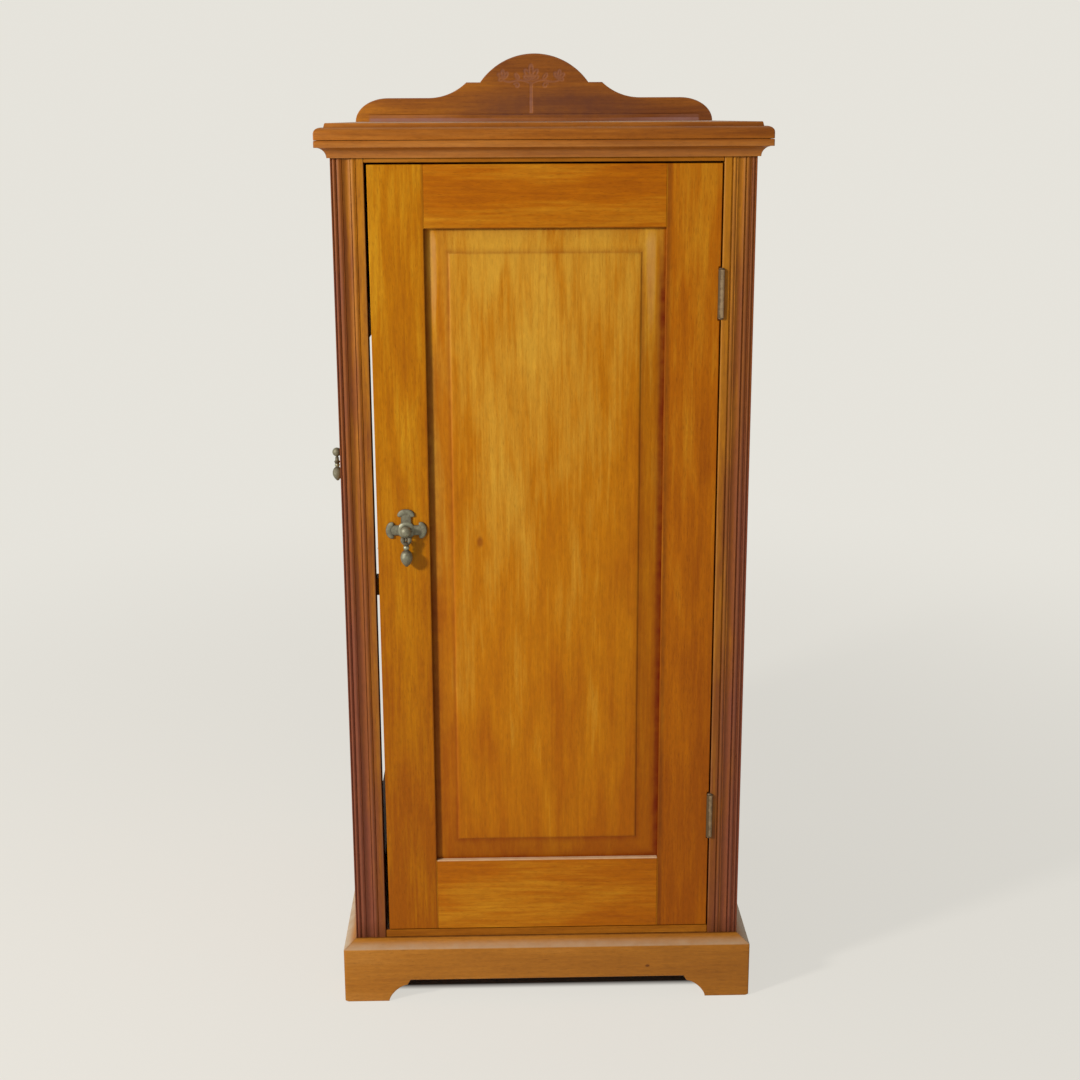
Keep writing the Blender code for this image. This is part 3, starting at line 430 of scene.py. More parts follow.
across, depth, age_and_shading, width = moulded_section()
strip_low, strip_high = (corner.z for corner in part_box("right_pilaster"))
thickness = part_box("right_pilaster")[1].y - FRONT
section_x = np.r_[np.zeros(24), 0.0002, 0.0006, across[1:], np.full(8, width),
                  np.linspace(width, 0, 22)[1:-1]]
section_y = np.r_[np.linspace(thickness, 0.0006, 24), 0.0002, 0.0, depth[1:],
                  np.linspace(0.002, thickness, 8), np.full(20, thickness)]
section_age_and_shading = np.r_[np.full(24, 0.2), -0.15, -0.15, age_and_shading[1:], np.zeros(28)]
for word, side, axis, toward, inward, heights, seed in (
        ("left", -1, SIDE_AXIS, -Y, X, SIDE_HINGES, 21.0),
        ("right", 1, FRONT_AXIS, X, Y, FRONT_HINGES, 22.0)):
    levels = hinge_stations(strip_low, strip_high, heights)
    door_edge = abs(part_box(f"{word}_pilaster")[0 if side > 0 else 1].x)
    rings = points(side * (door_edge + section_x), FRONT + section_y, levels[:, None])
    rings[..., 1] += np.abs(0.00006 * np.sin(levels * 31.0 + seed))[:, None] * (section_y < 0.004)
    held = np.any([np.abs(levels - height) < HINGE_END for height in heights], axis=0)
    rings[held] = let_in(rings[held], axis, toward, inward)
    near_end = np.exp(-(levels - strip_low) / 0.004) + np.exp(-(strip_high - levels) / 0.004)
    # The lean across darkens each strip's outer half towards its deep, purplish tone: a painted sheen.
    finish = polished_wood(
        f"{word}_pilaster_walnut", "z", PILASTER_TONES, seed,
        (("z", 0.75, 0.72 - side * 0.145), ("x", -15.0 * side, side * 0.2125)), clouds=0.9, streaks=0.8,
        dust_and_sheen=(0.42, 0.24, 0.12), coat=0.08)
    strip_age = np.clip(section_age_and_shading + 0.6 * near_end[:, None], -1, 1)
    put_together(f"{word}_reeded_strip", [(rings, strip_age, "flat")], finish, CARCASS,
                 [f"{word}_pilaster"])


# Sill, top rail, side boards and rear post: planed walnut, glued up with the pilasters into the
# carcass. The right side is one plain board, and the left has a sill and a board over its door.
RAIL_TONES = ((0.24, 0.070, 0.003), (0.33, 0.110, 0.006), (0.40, 0.155, 0.016))
SIDE_TONES = ((0.17, 0.052, 0.010), (0.26, 0.088, 0.015), (0.35, 0.135, 0.026))
for node, grain, tones, seed in (
        ("front_sill", "x", RAIL_TONES, 31.0), ("top_rail", "x", RAIL_TONES, 32.0),
        ("side_sill", "y", SIDE_TONES, 33.0), ("left_upper_board", "y", SIDE_TONES, 34.0),
        ("right_side_board", "z", SIDE_TONES, 35.0), ("left_rear_post", "z", SIDE_TONES, 36.0)):
    refinish(node, polished_wood(f"{node}_walnut", grain, tones, seed, (("z", 0.2, 0.6),), shine=0.06,
                                 coat=0.04))


# Back: two pine rails and three upright pine boards nailed to them with cut nails, left rough.
# The nails stand a little proud in dark rings of rust.
leave_sawn(41.0, ("back_top_rail", "x"), ("back_bottom_rail", "x"), ("left_back_board", "z"),
           ("middle_back_board", "z"), ("right_back_board", "z"))


def mottled_metal(name, bright, tarnish_and_shade, share, metallic, roughness, seed):
    """Old metal. Cloudy tarnish lies over the bright metal, thicker where the mesh's value is above
    zero and rubbed away where it is below. On the hinges and handles that value also paints shade,
    as dark rims and a dark side, and highlights, where the bright metal shows."""
    made, tree, shader = new_paint(name)
    place = wire(tree, "TexCoord", out="Object")
    clouds = drawn_noise(tree, place, (0.006, 0.006, 0.006), seed, 4.0, 0.6, 0.4)
    specks = drawn_noise(tree, place, (0.0007, 0.0007, 0.0007), seed + 1.7, 2.0)
    age_and_shading = wire(tree, "Attribute", out="Fac", attribute_name="age_and_shading")
    tarnish_and_shade_share = reckon(tree, "MULTIPLY_ADD", clouds, 1.5, share - 0.75)
    tarnish_and_shade_share = reckon(tree, "MULTIPLY_ADD", specks, 0.5, reckon(tree, "SUBTRACT", tarnish_and_shade_share, 0.25))
    tarnish_and_shade_share = reckon(tree, "MULTIPLY_ADD", age_and_shading, 0.75, tarnish_and_shade_share, clamp=True)
    colour = blend_colour(tree, tarnish_and_shade_share, (*bright, 1.0), (*tarnish_and_shade, 1.0))
    rough = reckon(tree, "MULTIPLY_ADD", tarnish_and_shade_share, 0.28, roughness)
    solid = reckon(tree, "MULTIPLY_ADD", tarnish_and_shade_share, -0.55, metallic)
    bump = wire(tree, "Bump", {"Height": specks, "Strength": 0.15, "Distance": 0.0002})
    feed(tree, shader, {"Base Color": colour, "Roughness": rough, "Metallic": solid, "Normal": bump})
    return made


def turned_shell(origin, along, stations, sides=32, age_and_shading=0.0, ends="flat"):
    """A turned form: circles of each station's radius at its distance along an axis."""
    along = np.asarray(along, float) / np.linalg.norm(along)
    across = np.cross(along, [0.31, 0.72, 0.62])
    across /= np.linalg.norm(across)
    distance, radius = np.asarray(stations, float).T
    turn = full_turn(sides)[:, None]
    circle = np.cos(turn) * across + np.sin(turn) * np.cross(along, across)
    rings = np.asarray(origin) + distance[:, None, None] * along + radius[:, None, None] * circle
    return rings, np.broadcast_to(np.asarray(age_and_shading, float).reshape(-1, 1), rings.shape[:2]), ends


IRON = mottled_metal("nail_iron", (0.20, 0.17, 0.15), (0.055, 0.030, 0.018), 0.75, 0.9, 0.5, 51.0)
NAIL_DOME = [(-0.003, 0.0010), (0.0, 0.0012), (0.0, 0.0022), (0.0003, 0.0021), (0.00055, 0.0013),
             (0.0006, 0.0002)]
heads = []
for node in ("left_back_board", "middle_back_board", "right_back_board"):
    low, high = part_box(node)
    for level in (high.z - 0.018, high.z - 0.052, low.z + 0.019, low.z + 0.040):
        for x in np.linspace(low.x + 0.014, high.x - 0.014, 3):
            heads.append(turned_shell((x, BACK - 0.0004, level), Y, NAIL_DOME, sides=12, age_and_shading=0.3))
put_together("back_board_nails", heads, IRON, CARCASS)


# Shelf on two bearers, and the keepers: the shelf and bearers are pine, screwed to the sides. The
# stop block and the latch's strip are walnut offcuts glued in place.
leave_sawn(61.0, ("shelf", "x"), ("left_shelf_bearer", "y"), ("right_shelf_bearer", "y"))
for seed, node in enumerate(("door_stop_block", "side_latch_keeper")):
    refinish(node, polished_wood(f"{node}_walnut", "z", SIDE_TONES, 65.0 + seed, coat=0.0, roughness=0.5))


# Cornice: a walnut moulding with a fillet over a cove, mitred round the front and both sides, and
# packed out to the recessed side boards.
CORNICE_TONES = ((0.215, 0.056, 0.003), (0.305, 0.092, 0.006), (0.40, 0.142, 0.018))
CORNICE_OUT, COVE_STEP, COVE_TOE, EASED = 0.0155, 0.0018, 0.0032, 0.0004
cornice_low, cornice_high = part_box("cornice_front")
cove_top = cornice_high.z + 0.0003 - 0.0077
turn = degrees(180, 90, 14)
section_x = np.r_[
    COVE_TOE - 0.001, CORNICE_OUT - COVE_STEP + (CORNICE_OUT - COVE_STEP - COVE_TOE) * np.cos(turn),
    CORNICE_OUT - 0.0018, CORNICE_OUT - EASED, np.full(5, CORNICE_OUT), CORNICE_OUT - EASED, 0.006]
section_z = np.r_[
    cornice_low.z, cornice_low.z + (cove_top - cornice_low.z) * np.sin(turn), cove_top, cove_top,
    cove_top + EASED, np.linspace(cove_top + 0.0015, cornice_high.z - 0.001, 4), cornice_high.z - 0.0001,
    cornice_high.z, cornice_high.z, cornice_low.z]
# Most of the cove has values below zero, which lighten it where it lies in shade: painted light.
section_age_and_shading = np.r_[
    0.3, np.interp(turn, np.radians([90, 110, 170, 180]), [0.16, -0.06, -0.14, -0.20]),
    0.3, -0.1, -0.2, -0.15, -0.1, -0.1, 0.0, 0.3, 0.6, 0.5, 0.5]
rows = np.ones((9, 1))
for word, side, seed in (("front", 0, 71.0), ("left", -1, 72.0), ("right", 1, 73.0)):
    grain, lean, place, end = "x", (("x", -0.5, 0.0),), front_place, HALF
    stations, packing = np.linspace(-1, 1, 9) * (HALF - 0.004), 0.0003 * rows
    if side:
        end = (BACK - FRONT) / 2
        grain, lean, place = "y", (), side_place(side, BACK - end)
        behind = thickness + 0.0005 - end
        stations = np.r_[np.linspace(-end + 0.004, behind - 0.0001, 3), np.linspace(behind, end - JOINT, 6)]
        packing = np.where(stations < behind, 0.0003, -0.0037)[:, None]
    out = np.hstack((rows * section_x, packing, packing))
    rings = run_rings(stations, out, rows * section_z, place, (True, not side), end, 0.0006)
    put_together(f"cornice_{word}_moulding", [(rings, section_age_and_shading, "flat")], polished_wood(
        f"cornice_{word}_walnut", grain, CORNICE_TONES, seed, lean, clouds=0.8, streaks=1.2),
        CARCASS, [f"cornice_{word}"])


# Top: one walnut board with a fillet, a round and a ledge run along its front and side edges,
# glued down on the carcass and the cornice.
ROUND_WIDTH, ROUND_HEIGHT, LEDGE = 0.0078, 0.0066, 0.0024
top_low, top_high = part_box("top_board")
edge_top = top_low.z + 0.0066
round_top = edge_top + ROUND_HEIGHT
turn = degrees(0, 90, 12)
inward = np.r_[0.0006, 0, 0, 0, ROUND_WIDTH * (1 - np.cos(turn)),
               ROUND_WIDTH + LEDGE + np.array([0, 0.0002, 0.0008, 0.0012, 0.0018, 0.012, 0.06, 0.12])]
level = np.r_[top_low.z + np.array([0, 0.0005, 0.003]), edge_top - 0.0002,
              edge_top + ROUND_HEIGHT * np.sin(turn),
              round_top + (top_high.z - round_top) * np.array([0, 0.1, 0.6, 0.92, 1, 1, 1, 1])]
board_age = np.r_[0.3, 0, 0, 0.25, np.interp(turn, [0, 0.4, 1.2, 1.57], [0.15, 0.0, -0.05, 0.1]),
                  0.45, 0.35, 0.05, -0.15, -0.25, -0.1, 0.05, 0.1]


def top_rings(inward, level, arris=0.0010):
    """Rings round the top board. Each is a rectangle drawn in by its own distance, with a small
    round at the front corners, and they share one straight back edge."""
    eighths = degrees(0, 90, 5)
    x, y = top_high.x - inward, top_low.y + inward
    radius = np.maximum(arris - inward, 0.0002)
    corner_x = x - radius + radius * np.sin(eighths)
    corner_y = y + radius - radius * np.cos(eighths)
    along = np.linspace(-1, 1, 14)[1:-1]
    back = np.linspace(0.2, 1, 5)
    side_y = y + radius + (top_high.y - y - radius) * back
    ring_x = np.hstack((x * along, corner_x, x + 0 * back, -x + 0 * back, -corner_x[:, ::-1]))
    ring_y = np.hstack((y + 0 * along, corner_y, side_y, side_y[:, ::-1], corner_y[:, ::-1]))
    return points(ring_x, ring_y, level)


put_together("moulded_top", [(top_rings(inward[:, None], level[:, None]), board_age[:, None], "flat")],
             polished_wood("top_walnut", "x", CORNICE_TONES, 75.0, (("x", -0.5, 0.0),), clouds=0.8,
                           streaks=1.2), CARCASS, ["top_board"])


# Pediment: one shaped walnut board that stands up behind the top, screwed to it from behind. A
# small plant ornament and a line along the foot are cut into its face.
PEDIMENT_TONES = ((0.170, 0.048, 0.009), (0.275, 0.086, 0.010), (0.385, 0.132, 0.010))
SHOULDER, SHELF_STEP, CROWN = 0.0305, 0.0505, 0.0875
SHOULDER_ROUND, SHOULDER_FLAT, HOLLOW, STEP = 0.044, 0.054, 0.051, 0.0185
CUT_WIDTH, CUT_DEPTH, PEDIMENT_ARRIS = 0.0040, 0.0004, 0.0008
FOOT_LINE, FOOT_LINE_DEPTH, FOOT_LINE_END = 0.0090, 0.0006, 0.222
ped_low, ped_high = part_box("pediment")
TOP_FACE = top_high.z


def arc_over(run, rise):
    """Radius and sweep of the arc that leaves a level line and rises by one over the other."""
    return (run ** 2 + rise ** 2) / (2 * rise), 2 * math.atan2(rise, run)


def pediment_line():
    """Half of the top outline from the middle outwards: crown arc, level step, hollow arc, level
    shoulder, and a quarter of an ellipse down to the end."""
    flat_end = ped_high.x - SHOULDER_ROUND
    flat_start = flat_end - SHOULDER_FLAT
    step_out = flat_start - HOLLOW
    step_in = step_out - STEP
    crown, sweep = arc_over(step_in, CROWN - SHELF_STEP)
    rising = np.linspace(0, sweep, 60)
    hollow, sweep = arc_over(HOLLOW, SHELF_STEP - SHOULDER)
    falling = np.linspace(sweep, 0, 14)[1:]
    ending = degrees(90, 0, 20)
    x = np.r_[crown * np.sin(rising), np.linspace(step_in + 0.0004, step_out, 6),
              flat_start - hollow * np.sin(falling), np.linspace(flat_start, flat_end, 8)[1:-1],
              flat_end + SHOULDER_ROUND * np.cos(ending)]
    z = np.r_[CROWN - crown + crown * np.cos(rising), np.full(6, SHELF_STEP),
              SHOULDER + hollow - hollow * np.cos(falling), np.full(6, SHOULDER), SHOULDER * np.sin(ending)]
    return x, z


def swing(u, v, cos, sin):
    """Turns a place on a plane by the angle that has this cosine and sine."""
    return u * cos - v * sin, u * sin + v * cos


def curl(x, z, size, start, sweep):
    """A scroll: a spiral whose radius falls to a third of its size over its sweep, in degrees."""
    turn = degrees(start, start + sweep, 14)
    radius = size * np.linspace(1, 0.33, 14)
    return np.stack((x + radius * np.cos(turn), z + radius * np.sin(turn)), axis=-1)


def petal(x, z, angle, length, width):
    """A petal's outline: out along its angle and back, as wide as half a sine wave."""
    turn = np.linspace(0, 2 * math.pi, 13)
    angle = math.radians(angle)
    outline = swing(length * (1 - np.cos(turn)) / 2, width / 2 * np.sin(turn),
                    math.cos(angle), math.sin(angle))
    return np.stack(outline, axis=-1) + (x, z)


def ornament_strokes(middle):
    """Stem, petals, vines and leaf sprays, in metres across the board and above the top."""
    strokes = [np.array([[middle + side * 0.0011, 0.0115], [middle + side * 0.0009, 0.0505]])
               for side in (-1, 1)]
    strokes += [petal(middle, 0.0550, angle, length, 0.0052)
                for angle, length in ((90, 0.0185), (54, 0.0145), (126, 0.0145), (18, 0.0100), (162, 0.0100))]
    reach = np.linspace(0, 1, 10)
    for side in (-1, 1):
        strokes.append(np.stack((middle + side * (0.002 + 0.034 * reach),
                                 0.0495 + 0.0060 * reach ** 2 + 0.003 * np.sin(5.0 * reach)), axis=-1))
        strokes += [petal(middle + side * 0.0365, 0.0560, 90 - side * angle, length, 0.0040)
                    for angle, length in ((-35, 0.0085), (10, 0.0105), (55, 0.0095), (110, 0.0070))]
        strokes.append(curl(middle + side * 0.0190, 0.0465, 0.0040, 90 - side * 60, side * 330))
        strokes.append(petal(middle + side * 0.0165, 0.0550, 90 - side * 35, 0.0080, 0.0036))
    return strokes


def stroke_depth(x, z, strokes):
    """How deep a V-shaped cut is at each place: one on a stroke's line, falling evenly to nothing
    at half the cut's width away."""
    nearest = np.full(x.shape, 1.0)
    for stroke in strokes:
        a, run = stroke[:-1], np.diff(stroke, axis=0)
        dx, dz = x[..., None] - a[:, 0], z[..., None] - a[:, 1]
        share = np.clip((dx * run[:, 0] + dz * run[:, 1]) / (run ** 2).sum(axis=1), 0, 1)
        gap = np.hypot(dx - share * run[:, 0], dz - share * run[:, 1]).min(axis=-1)
        nearest = np.minimum(nearest, gap)
    return np.clip(1 - nearest / (CUT_WIDTH / 2), 0, 1)


x, top = pediment_line()
order = np.unique(np.round(np.r_[x, np.arange(0.0007, 0.052, 0.0008)], 6))
top = np.interp(order, x, top)
x, crest = np.r_[-order[:0:-1], order][:, None], TOP_FACE + np.r_[top[:0:-1], top][:, None]
share = np.r_[np.linspace(0, 0.12, 5)[:-1], np.linspace(0.12, 0.985, 118)]
front_z = ped_low.z + (crest - ped_low.z - PEDIMENT_ARRIS) * share
above = front_z - TOP_FACE
cut = stroke_depth(np.broadcast_to(x, above.shape), above, ornament_strokes(-0.0045))
by_foot = np.abs(x) < FOOT_LINE_END
line = np.clip(1 - np.abs(above - FOOT_LINE) / 0.0007, 0, 1) * by_foot
front_y = ped_low.y + CUT_DEPTH * cut + FOOT_LINE_DEPTH * line
lightened = (0.27 + 0.87 * np.clip((0.050 - above) / 0.025, 0, 1)) * np.minimum(1.8 * cut, 1)
face_age = np.where(line > 0, 0.55 * line, -lightened)
face_age = np.where((above < 0.0080) & (cut == 0) & by_foot, -0.22 - 0.55 * (above < 0.0042), face_age)
turn = degrees(0, 90, 4)
round_y = ped_low.y + PEDIMENT_ARRIS * (1 - np.cos(turn)) + 0 * crest
round_z = crest - PEDIMENT_ARRIS * (1 - np.sin(turn))
back_z = ped_low.z + (crest - ped_low.z) * np.array([1.0, 0.7, 0.35, 0.0])
rings = points(x, np.hstack((front_y, round_y, 0 * back_z + ped_high.y)),
               np.hstack((front_z, round_z, back_z)))
age_and_shading = np.hstack((face_age, 0 * round_z - 0.15, 0 * back_z))
put_together("shaped_pediment", [(rings, age_and_shading, "flat")], polished_wood(
    "pediment_walnut", "x", PEDIMENT_TONES, 81.0, (("x", -0.9, 0.0), ("z", 1.0, 1.075)),
    (((0.030, ped_low.y, 1.042), (0.180, 0.03, 0.046), 0.62),), broad=1.3, dust_and_sheen=(0.29, 0.145, 0.120),
    dirt_and_shade=(0.11, 0.036, 0.020)), CARCASS, ["pediment"])


# Front door's frame: two stiles and two rails of golden walnut, mortised and tenoned, 20 mm thick.
# The tone is painted lighter towards the top and the latch side, as the lamp's light, and deeper
# towards the foot and the hinges, as shade. The marks along the panel's opening darken it, partly
# dirt and partly painted shade, and the bottom rail's mark is a painted highlight along its top edge.
DOOR, DOOR_FACE = "front_door", -0.480
DOOR_TONES = ((0.288, 0.076, 0.001), (0.388, 0.134, 0.001), (0.495, 0.232, 0.008))
RED_TONES = ((0.285, 0.069, 0.001), (0.375, 0.106, 0.001), (0.470, 0.188, 0.007))
DOOR_GLOSS = {"shine": 0.08, "coat": 0.05}
PANEL_LEFT, PANEL_RIGHT, PANEL_LOW, PANEL_HIGH = -0.1313, 0.1329, 0.1766, 0.9198
SEAM, SEAM_DEPTH, SEAM_SUNK = 0.0005, 0.0020, 0.00004
for node, grain, tones, seed, lean, *mark in (
        ("front_door_latch_stile", "z", DOOR_TONES, 91.0, (("x", -0.5, -0.16), ("z", 0.62, 0.76)),
         (PANEL_LEFT, DOOR_FACE, 0.55), (0.0026, 0.01, 9.0), 0.30),
        ("front_door_hinge_stile", "z", RED_TONES, 92.0, (("z", 0.22, 0.94),),
         (PANEL_RIGHT, DOOR_FACE, 0.55), (0.0075, 0.01, 9.0), 0.42),
        ("front_door_top_rail", "x", RED_TONES, 93.0, (("x", -0.5, 0.0),),
         (0.0, DOOR_FACE, PANEL_HIGH), (9.0, 0.01, 0.0016), 0.30),
        # The bottom rail's mark is a painted highlight along its top edge, which faces up to the light.
        ("front_door_bottom_rail", "x", RED_TONES, 94.0, (("x", -0.4, 0.0),),
         (0.0, -0.476, PANEL_LOW), (5.0, 0.009, 0.0019), -0.95)):
    refinish(node, polished_wood(f"{node}_walnut", grain, tones, seed, lean, (mark,),
                                 dust_and_sheen=(0.60, 0.40, 0.23), **DOOR_GLOSS))
shells = []
for x in (PANEL_LEFT, PANEL_RIGHT):
    for low, high in ((PANEL_HIGH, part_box("front_door_top_rail")[1].z - 0.0004),
                      (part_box("front_door_bottom_rail")[0].z + 0.0004, PANEL_LOW)):
        sunk = DOOR_FACE + SEAM_SUNK + SEAM_DEPTH * np.array([0, 0, 1, 1])
        rings = points(x + SEAM * np.array([-1, 1, 1, -1]), sunk, np.array([[low], [high]]))
        shells.append((rings, 0.25, "flat"))
put_together("front_door_filled_seams", shells, polished_wood(
    "seam_polish", "z", DOOR_TONES, 95.0, dust_and_sheen=(0.44, 0.25, 0.11), **DOOR_GLOSS), DOOR)


# Panels: one wide board each, bevelled by hand on all four sides up to a raised field with a small
# step round it. A panel is held in grooves and not glued, so that it can shrink.
GROOVE, BEVEL, FIELD, STEP_HEIGHT = 0.007, 0.026, 0.0020, 0.0012
PANEL_EDGE, BEVEL_EDGE, PANEL_BACK = 0.0075, 0.0058, 0.0140
PANEL_TONES = ((0.350, 0.096, 0.001), (0.436, 0.150, 0.002), (0.530, 0.268, 0.024))


def panel_rings(low, high, face, lift):
    """Rings of a raised panel: each is the opening's rectangle drawn in by its own distance, at
    its own depth behind the door's face, so the bevels meet in mitres."""
    bevel = np.array([0.0, 0.06, 0.16, 0.30, 0.46, 0.62, 0.74, 0.84, 0.92, 0.97, 1.0])
    inset = np.r_[-GROOVE, -GROOVE, -0.001, BEVEL * bevel,
                  BEVEL + np.array([0.0007, 0.0015, 0.0023, 0.0032, 0.006, 0.012, 0.03, 0.06])][:, None]
    base = FIELD + STEP_HEIGHT
    depth = np.r_[PANEL_BACK, PANEL_EDGE, PANEL_EDGE, BEVEL_EDGE + (base - BEVEL_EDGE) * bevel,
                  base - 0.0004, FIELD + 0.0003, FIELD + 0.0001, np.full(5, FIELD)]
    # These values darken each bevel in the groove at the opening's edge and along the step round the field,
    # differently on each side: partly dirt, and partly painted shade of the frame and the step.
    field = [0.34, 0.22, 0.12, 0.08, 0.07, 0.04, 0, 0]
    below = [0, 0.5, 0.8, 0.80, 0.60, 0.42, 0.34, 0.32, 0.30, 0.32, 0.40, 0.52, 0.58, 0.55, *field]
    right = [0, 0.5, 0.9, 0.92, 0.88, 0.80, 0.38, 0.12, 0.12, 0.14, 0.20, 0.34, 0.42, 0.42, *field]
    above = [0, 0.5, 0.7, 0.60, 0.35, 0.20, 0.14, 0.10, 0.06, 0.04, 0.10, 0.20, 0.30, 0.35, *field]
    left = [0, 0.5, 0.7, 0.66, 0.62, 0.58, 0.42, 0.32, 0.24, 0.18, 0.22, 0.36, 0.44, 0.42, *field]
    age_and_shading = np.repeat(np.array([below, right, above, left], float).T, 11, axis=1)
    steps, ones = np.linspace(0, 1, 12)[:-1], np.ones(11)
    shares = np.r_[steps, ones, 1 - steps, 0 * ones], np.r_[0 * ones, steps, ones, 1 - steps]
    across, height = (start + inset + (end - start - 2 * inset) * share
                      for start, end, share in zip(low, high, shares))
    return lift(across, face + depth[:, None], height), age_and_shading


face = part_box("front_door_hinge_stile")[0].y
rings, age_and_shading = panel_rings((PANEL_LEFT, PANEL_LOW), (PANEL_RIGHT, PANEL_HIGH), face, points)
# The first mark is a dark knot. The two marks at the top of the side bevels and the lean up the panel lighten
# it as painted sheen, and the lean across lightens the left as painted light. The red dark colour is for the
# painted shade in the grooves.
put_together("front_raised_panel", [(rings, age_and_shading, "flat")], polished_wood(
    "front_panel_walnut", "z", PANEL_TONES, 101.0, (("x", -0.4, 0.0), ("z", 0.85, 0.56)),
    (((-0.0745, -0.478, 0.5685), (0.0050, 0.01, 0.0090), 0.55),
     ((PANEL_LEFT + 0.008, -0.478, 0.880), (0.009, 0.02, 0.130), -0.62),
     ((PANEL_RIGHT - 0.016, -0.478, 0.880), (0.010, 0.02, 0.120), -0.28)),
    streaks=0.75, pores=0.22, dust_and_sheen=(0.58, 0.34, 0.16), dirt_and_shade=(0.150, 0.015, 0.001), **DOOR_GLOSS),
    DOOR, ["front_door_panel"], smooth=20.0)


# Hinges: brass butts with five knuckles on a steel pin, let in flush and fixed with three
# countersunk screws in each leaf. The barrels are worn bright along their middle, and the half
# of each barrel away from the frame, towards the door, is painted dark as shade.
HINGE_BRASS = mottled_metal("hinge_brass", (0.43, 0.30, 0.17), (0.075, 0.042, 0.012), 0.32, 0.80, 0.42, 111.0)
HINGE_STEEL = mottled_metal("hinge_pin_steel", (0.27, 0.19, 0.11), (0.07, 0.045, 0.028), 0.6, 0.9, 0.45,
                            112.0)
SCREW_STEEL = mottled_metal("screw_steel", (0.30, 0.27, 0.24), (0.07, 0.05, 0.04), 0.45, 1.0, 0.38, 113.0)
KNUCKLES, SCREWS, SCREW_LINE, SCREW_HEAD, HOLE, BORE = 5, 3, 0.0095, 0.00205, 0.0022, 0.0016
SCREW_LEVELS = [HINGE_LENGTH * ((i + 0.5) / SCREWS - 0.5) for i in range(SCREWS)]


def knuckle_rings(low, high):
    """A knuckle's section, an outside with eased edges and a bore, carried once round the pin."""
    ease = 0.00012
    return [(low, BORE), (low, KNUCKLE - ease), (low + ease, KNUCKLE), (high - ease, KNUCKLE),
            (high, KNUCKLE - ease), (high, BORE)]


def leaf_shells(middle, toward, inward):
    """A leaf in three lengths, each a plate with a round screw hole: circles about the hole are
    stretched out until they fill the plate's rectangle, down one face and up the other."""
    turn = full_turn(32) + math.pi / 32
    cos, sin = np.cos(turn), np.sin(turn)
    reach = np.where(cos > 0, (LEAF_WIDTH - SCREW_LINE) / np.maximum(cos, 1e-9),
                     (KNUCKLE * 0.6 - SCREW_LINE) / np.minimum(cos, -1e-9))
    reach = np.minimum(reach, HINGE_LENGTH / SCREWS / 2 / np.maximum(np.abs(sin), 1e-9))
    outline = ((HOLE, 0.0003), (HOLE + 0.0004, 0.0), (reach - 0.0002, 0.0), (reach, 0.0002),
               (reach, LEAF - 0.0002), (reach - 0.0002, LEAF), (HOLE, LEAF))
    return [(np.stack([
        middle + UP * centre + (SCREW_LINE + r * cos)[:, None] * inward + (r * sin)[:, None] * UP
        + (0.00015 + d) * toward for r, d in outline]), 0.1, "loop") for centre in SCREW_LEVELS]


def screw_shell(centre, out, slot_way):
    """A countersunk head with a slot: strips across the head are as long as the circle is wide
    there, and the middle ones are sunk."""
    a = np.array([-1, -0.97, -0.85, -0.6, -0.3, -0.17, -0.16, 0.16, 0.17, 0.3, 0.6, 0.85, 0.97, 1.0])
    a, b = a[:, None, None], np.linspace(-1, 1, 9)[:, None]
    width = np.sqrt(np.clip(1 - a ** 2, 0, 1))
    side = np.cross(out, slot_way)
    upper = SCREW_HEAD * (a * side + width * b * slot_way) - np.where(np.abs(a) < 0.165, 0.0005, 0.0) * out
    lower = 0.7 * SCREW_HEAD * (a * side + width * b[::-1] * slot_way) - 0.0010 * out
    return centre + np.concatenate((upper, lower), axis=1), 0.1, "flat"


def hang(prefix, door, axis, heights, toward, inward, swung):
    """Two hinges. toward points from the axis into the frame and inward into the gap, and swung
    turns the door's own leaf from the frame's directions to where the door stands."""
    for level, height, dull in zip(("lower", "upper"), heights, (0.35, 0.0)):
        middle = axis + UP * height
        for leaf, body, out, along, first in (("frame", CARCASS, toward, inward, 0),
                                              ("door", door, -(swung @ toward), swung @ inward, 1)):
            shells = leaf_shells(middle, out, along)
            for i in range(first, KNUCKLES, 2):
                low, high = (HINGE_LENGTH * (k / KNUCKLES - 0.5) for k in (i, i + 1))
                rings, age_and_shading, ends = turned_shell(middle, UP, knuckle_rings(low + 0.00004, high - 0.00004),
                                                age_and_shading=[0.5, 0.15, -0.15, -0.15, 0.15, 0.5], ends="loop")
                # The tarnish is thicker on the half of the knuckle away from the frame, towards the door:
                # painted shade.
                beside = (middle - rings) @ toward / KNUCKLE
                shells.append((rings, age_and_shading + dull + 2.4 * np.clip(beside - 0.02, 0, 0.5), ends))
            put_together(f"{prefix}_{level}_{leaf}_butt", shells, HINGE_BRASS, body,
                         [f"{prefix}_{level}_hinge_{leaf}_leaf"])
            turns = [i * 1.9 + height for i in range(SCREWS)]
            heads = [screw_shell(middle + UP * centre + along * SCREW_LINE + out * 0.0002, -out,
                                 along * math.cos(turn) + UP * math.sin(turn))
                     for centre, turn in zip(SCREW_LEVELS, turns)]
            put_together(f"{prefix}_{level}_{leaf}_screws", heads, SCREW_STEEL, body)
        dome = [(HINGE_END + rise, radius) for rise, radius in (
            (0.0, 0.0029), (0.0003, 0.0030), (0.0009, 0.0026), (0.0014, 0.0016), (0.0016, 0.0003))]
        stations = [(-d, r) for d, r in dome[::-1]] + [(-HINGE_END, 0.0013), (HINGE_END, 0.0013)] + dome
        put_together(f"{prefix}_{level}_hinge_steel_pin", [turned_shell(middle, UP, stations)], HINGE_STEEL,
                     CARCASS, [f"{prefix}_{level}_hinge_pin"])


hang("front", DOOR, FRONT_AXIS, FRONT_HINGES, X, Y, np.eye(3))


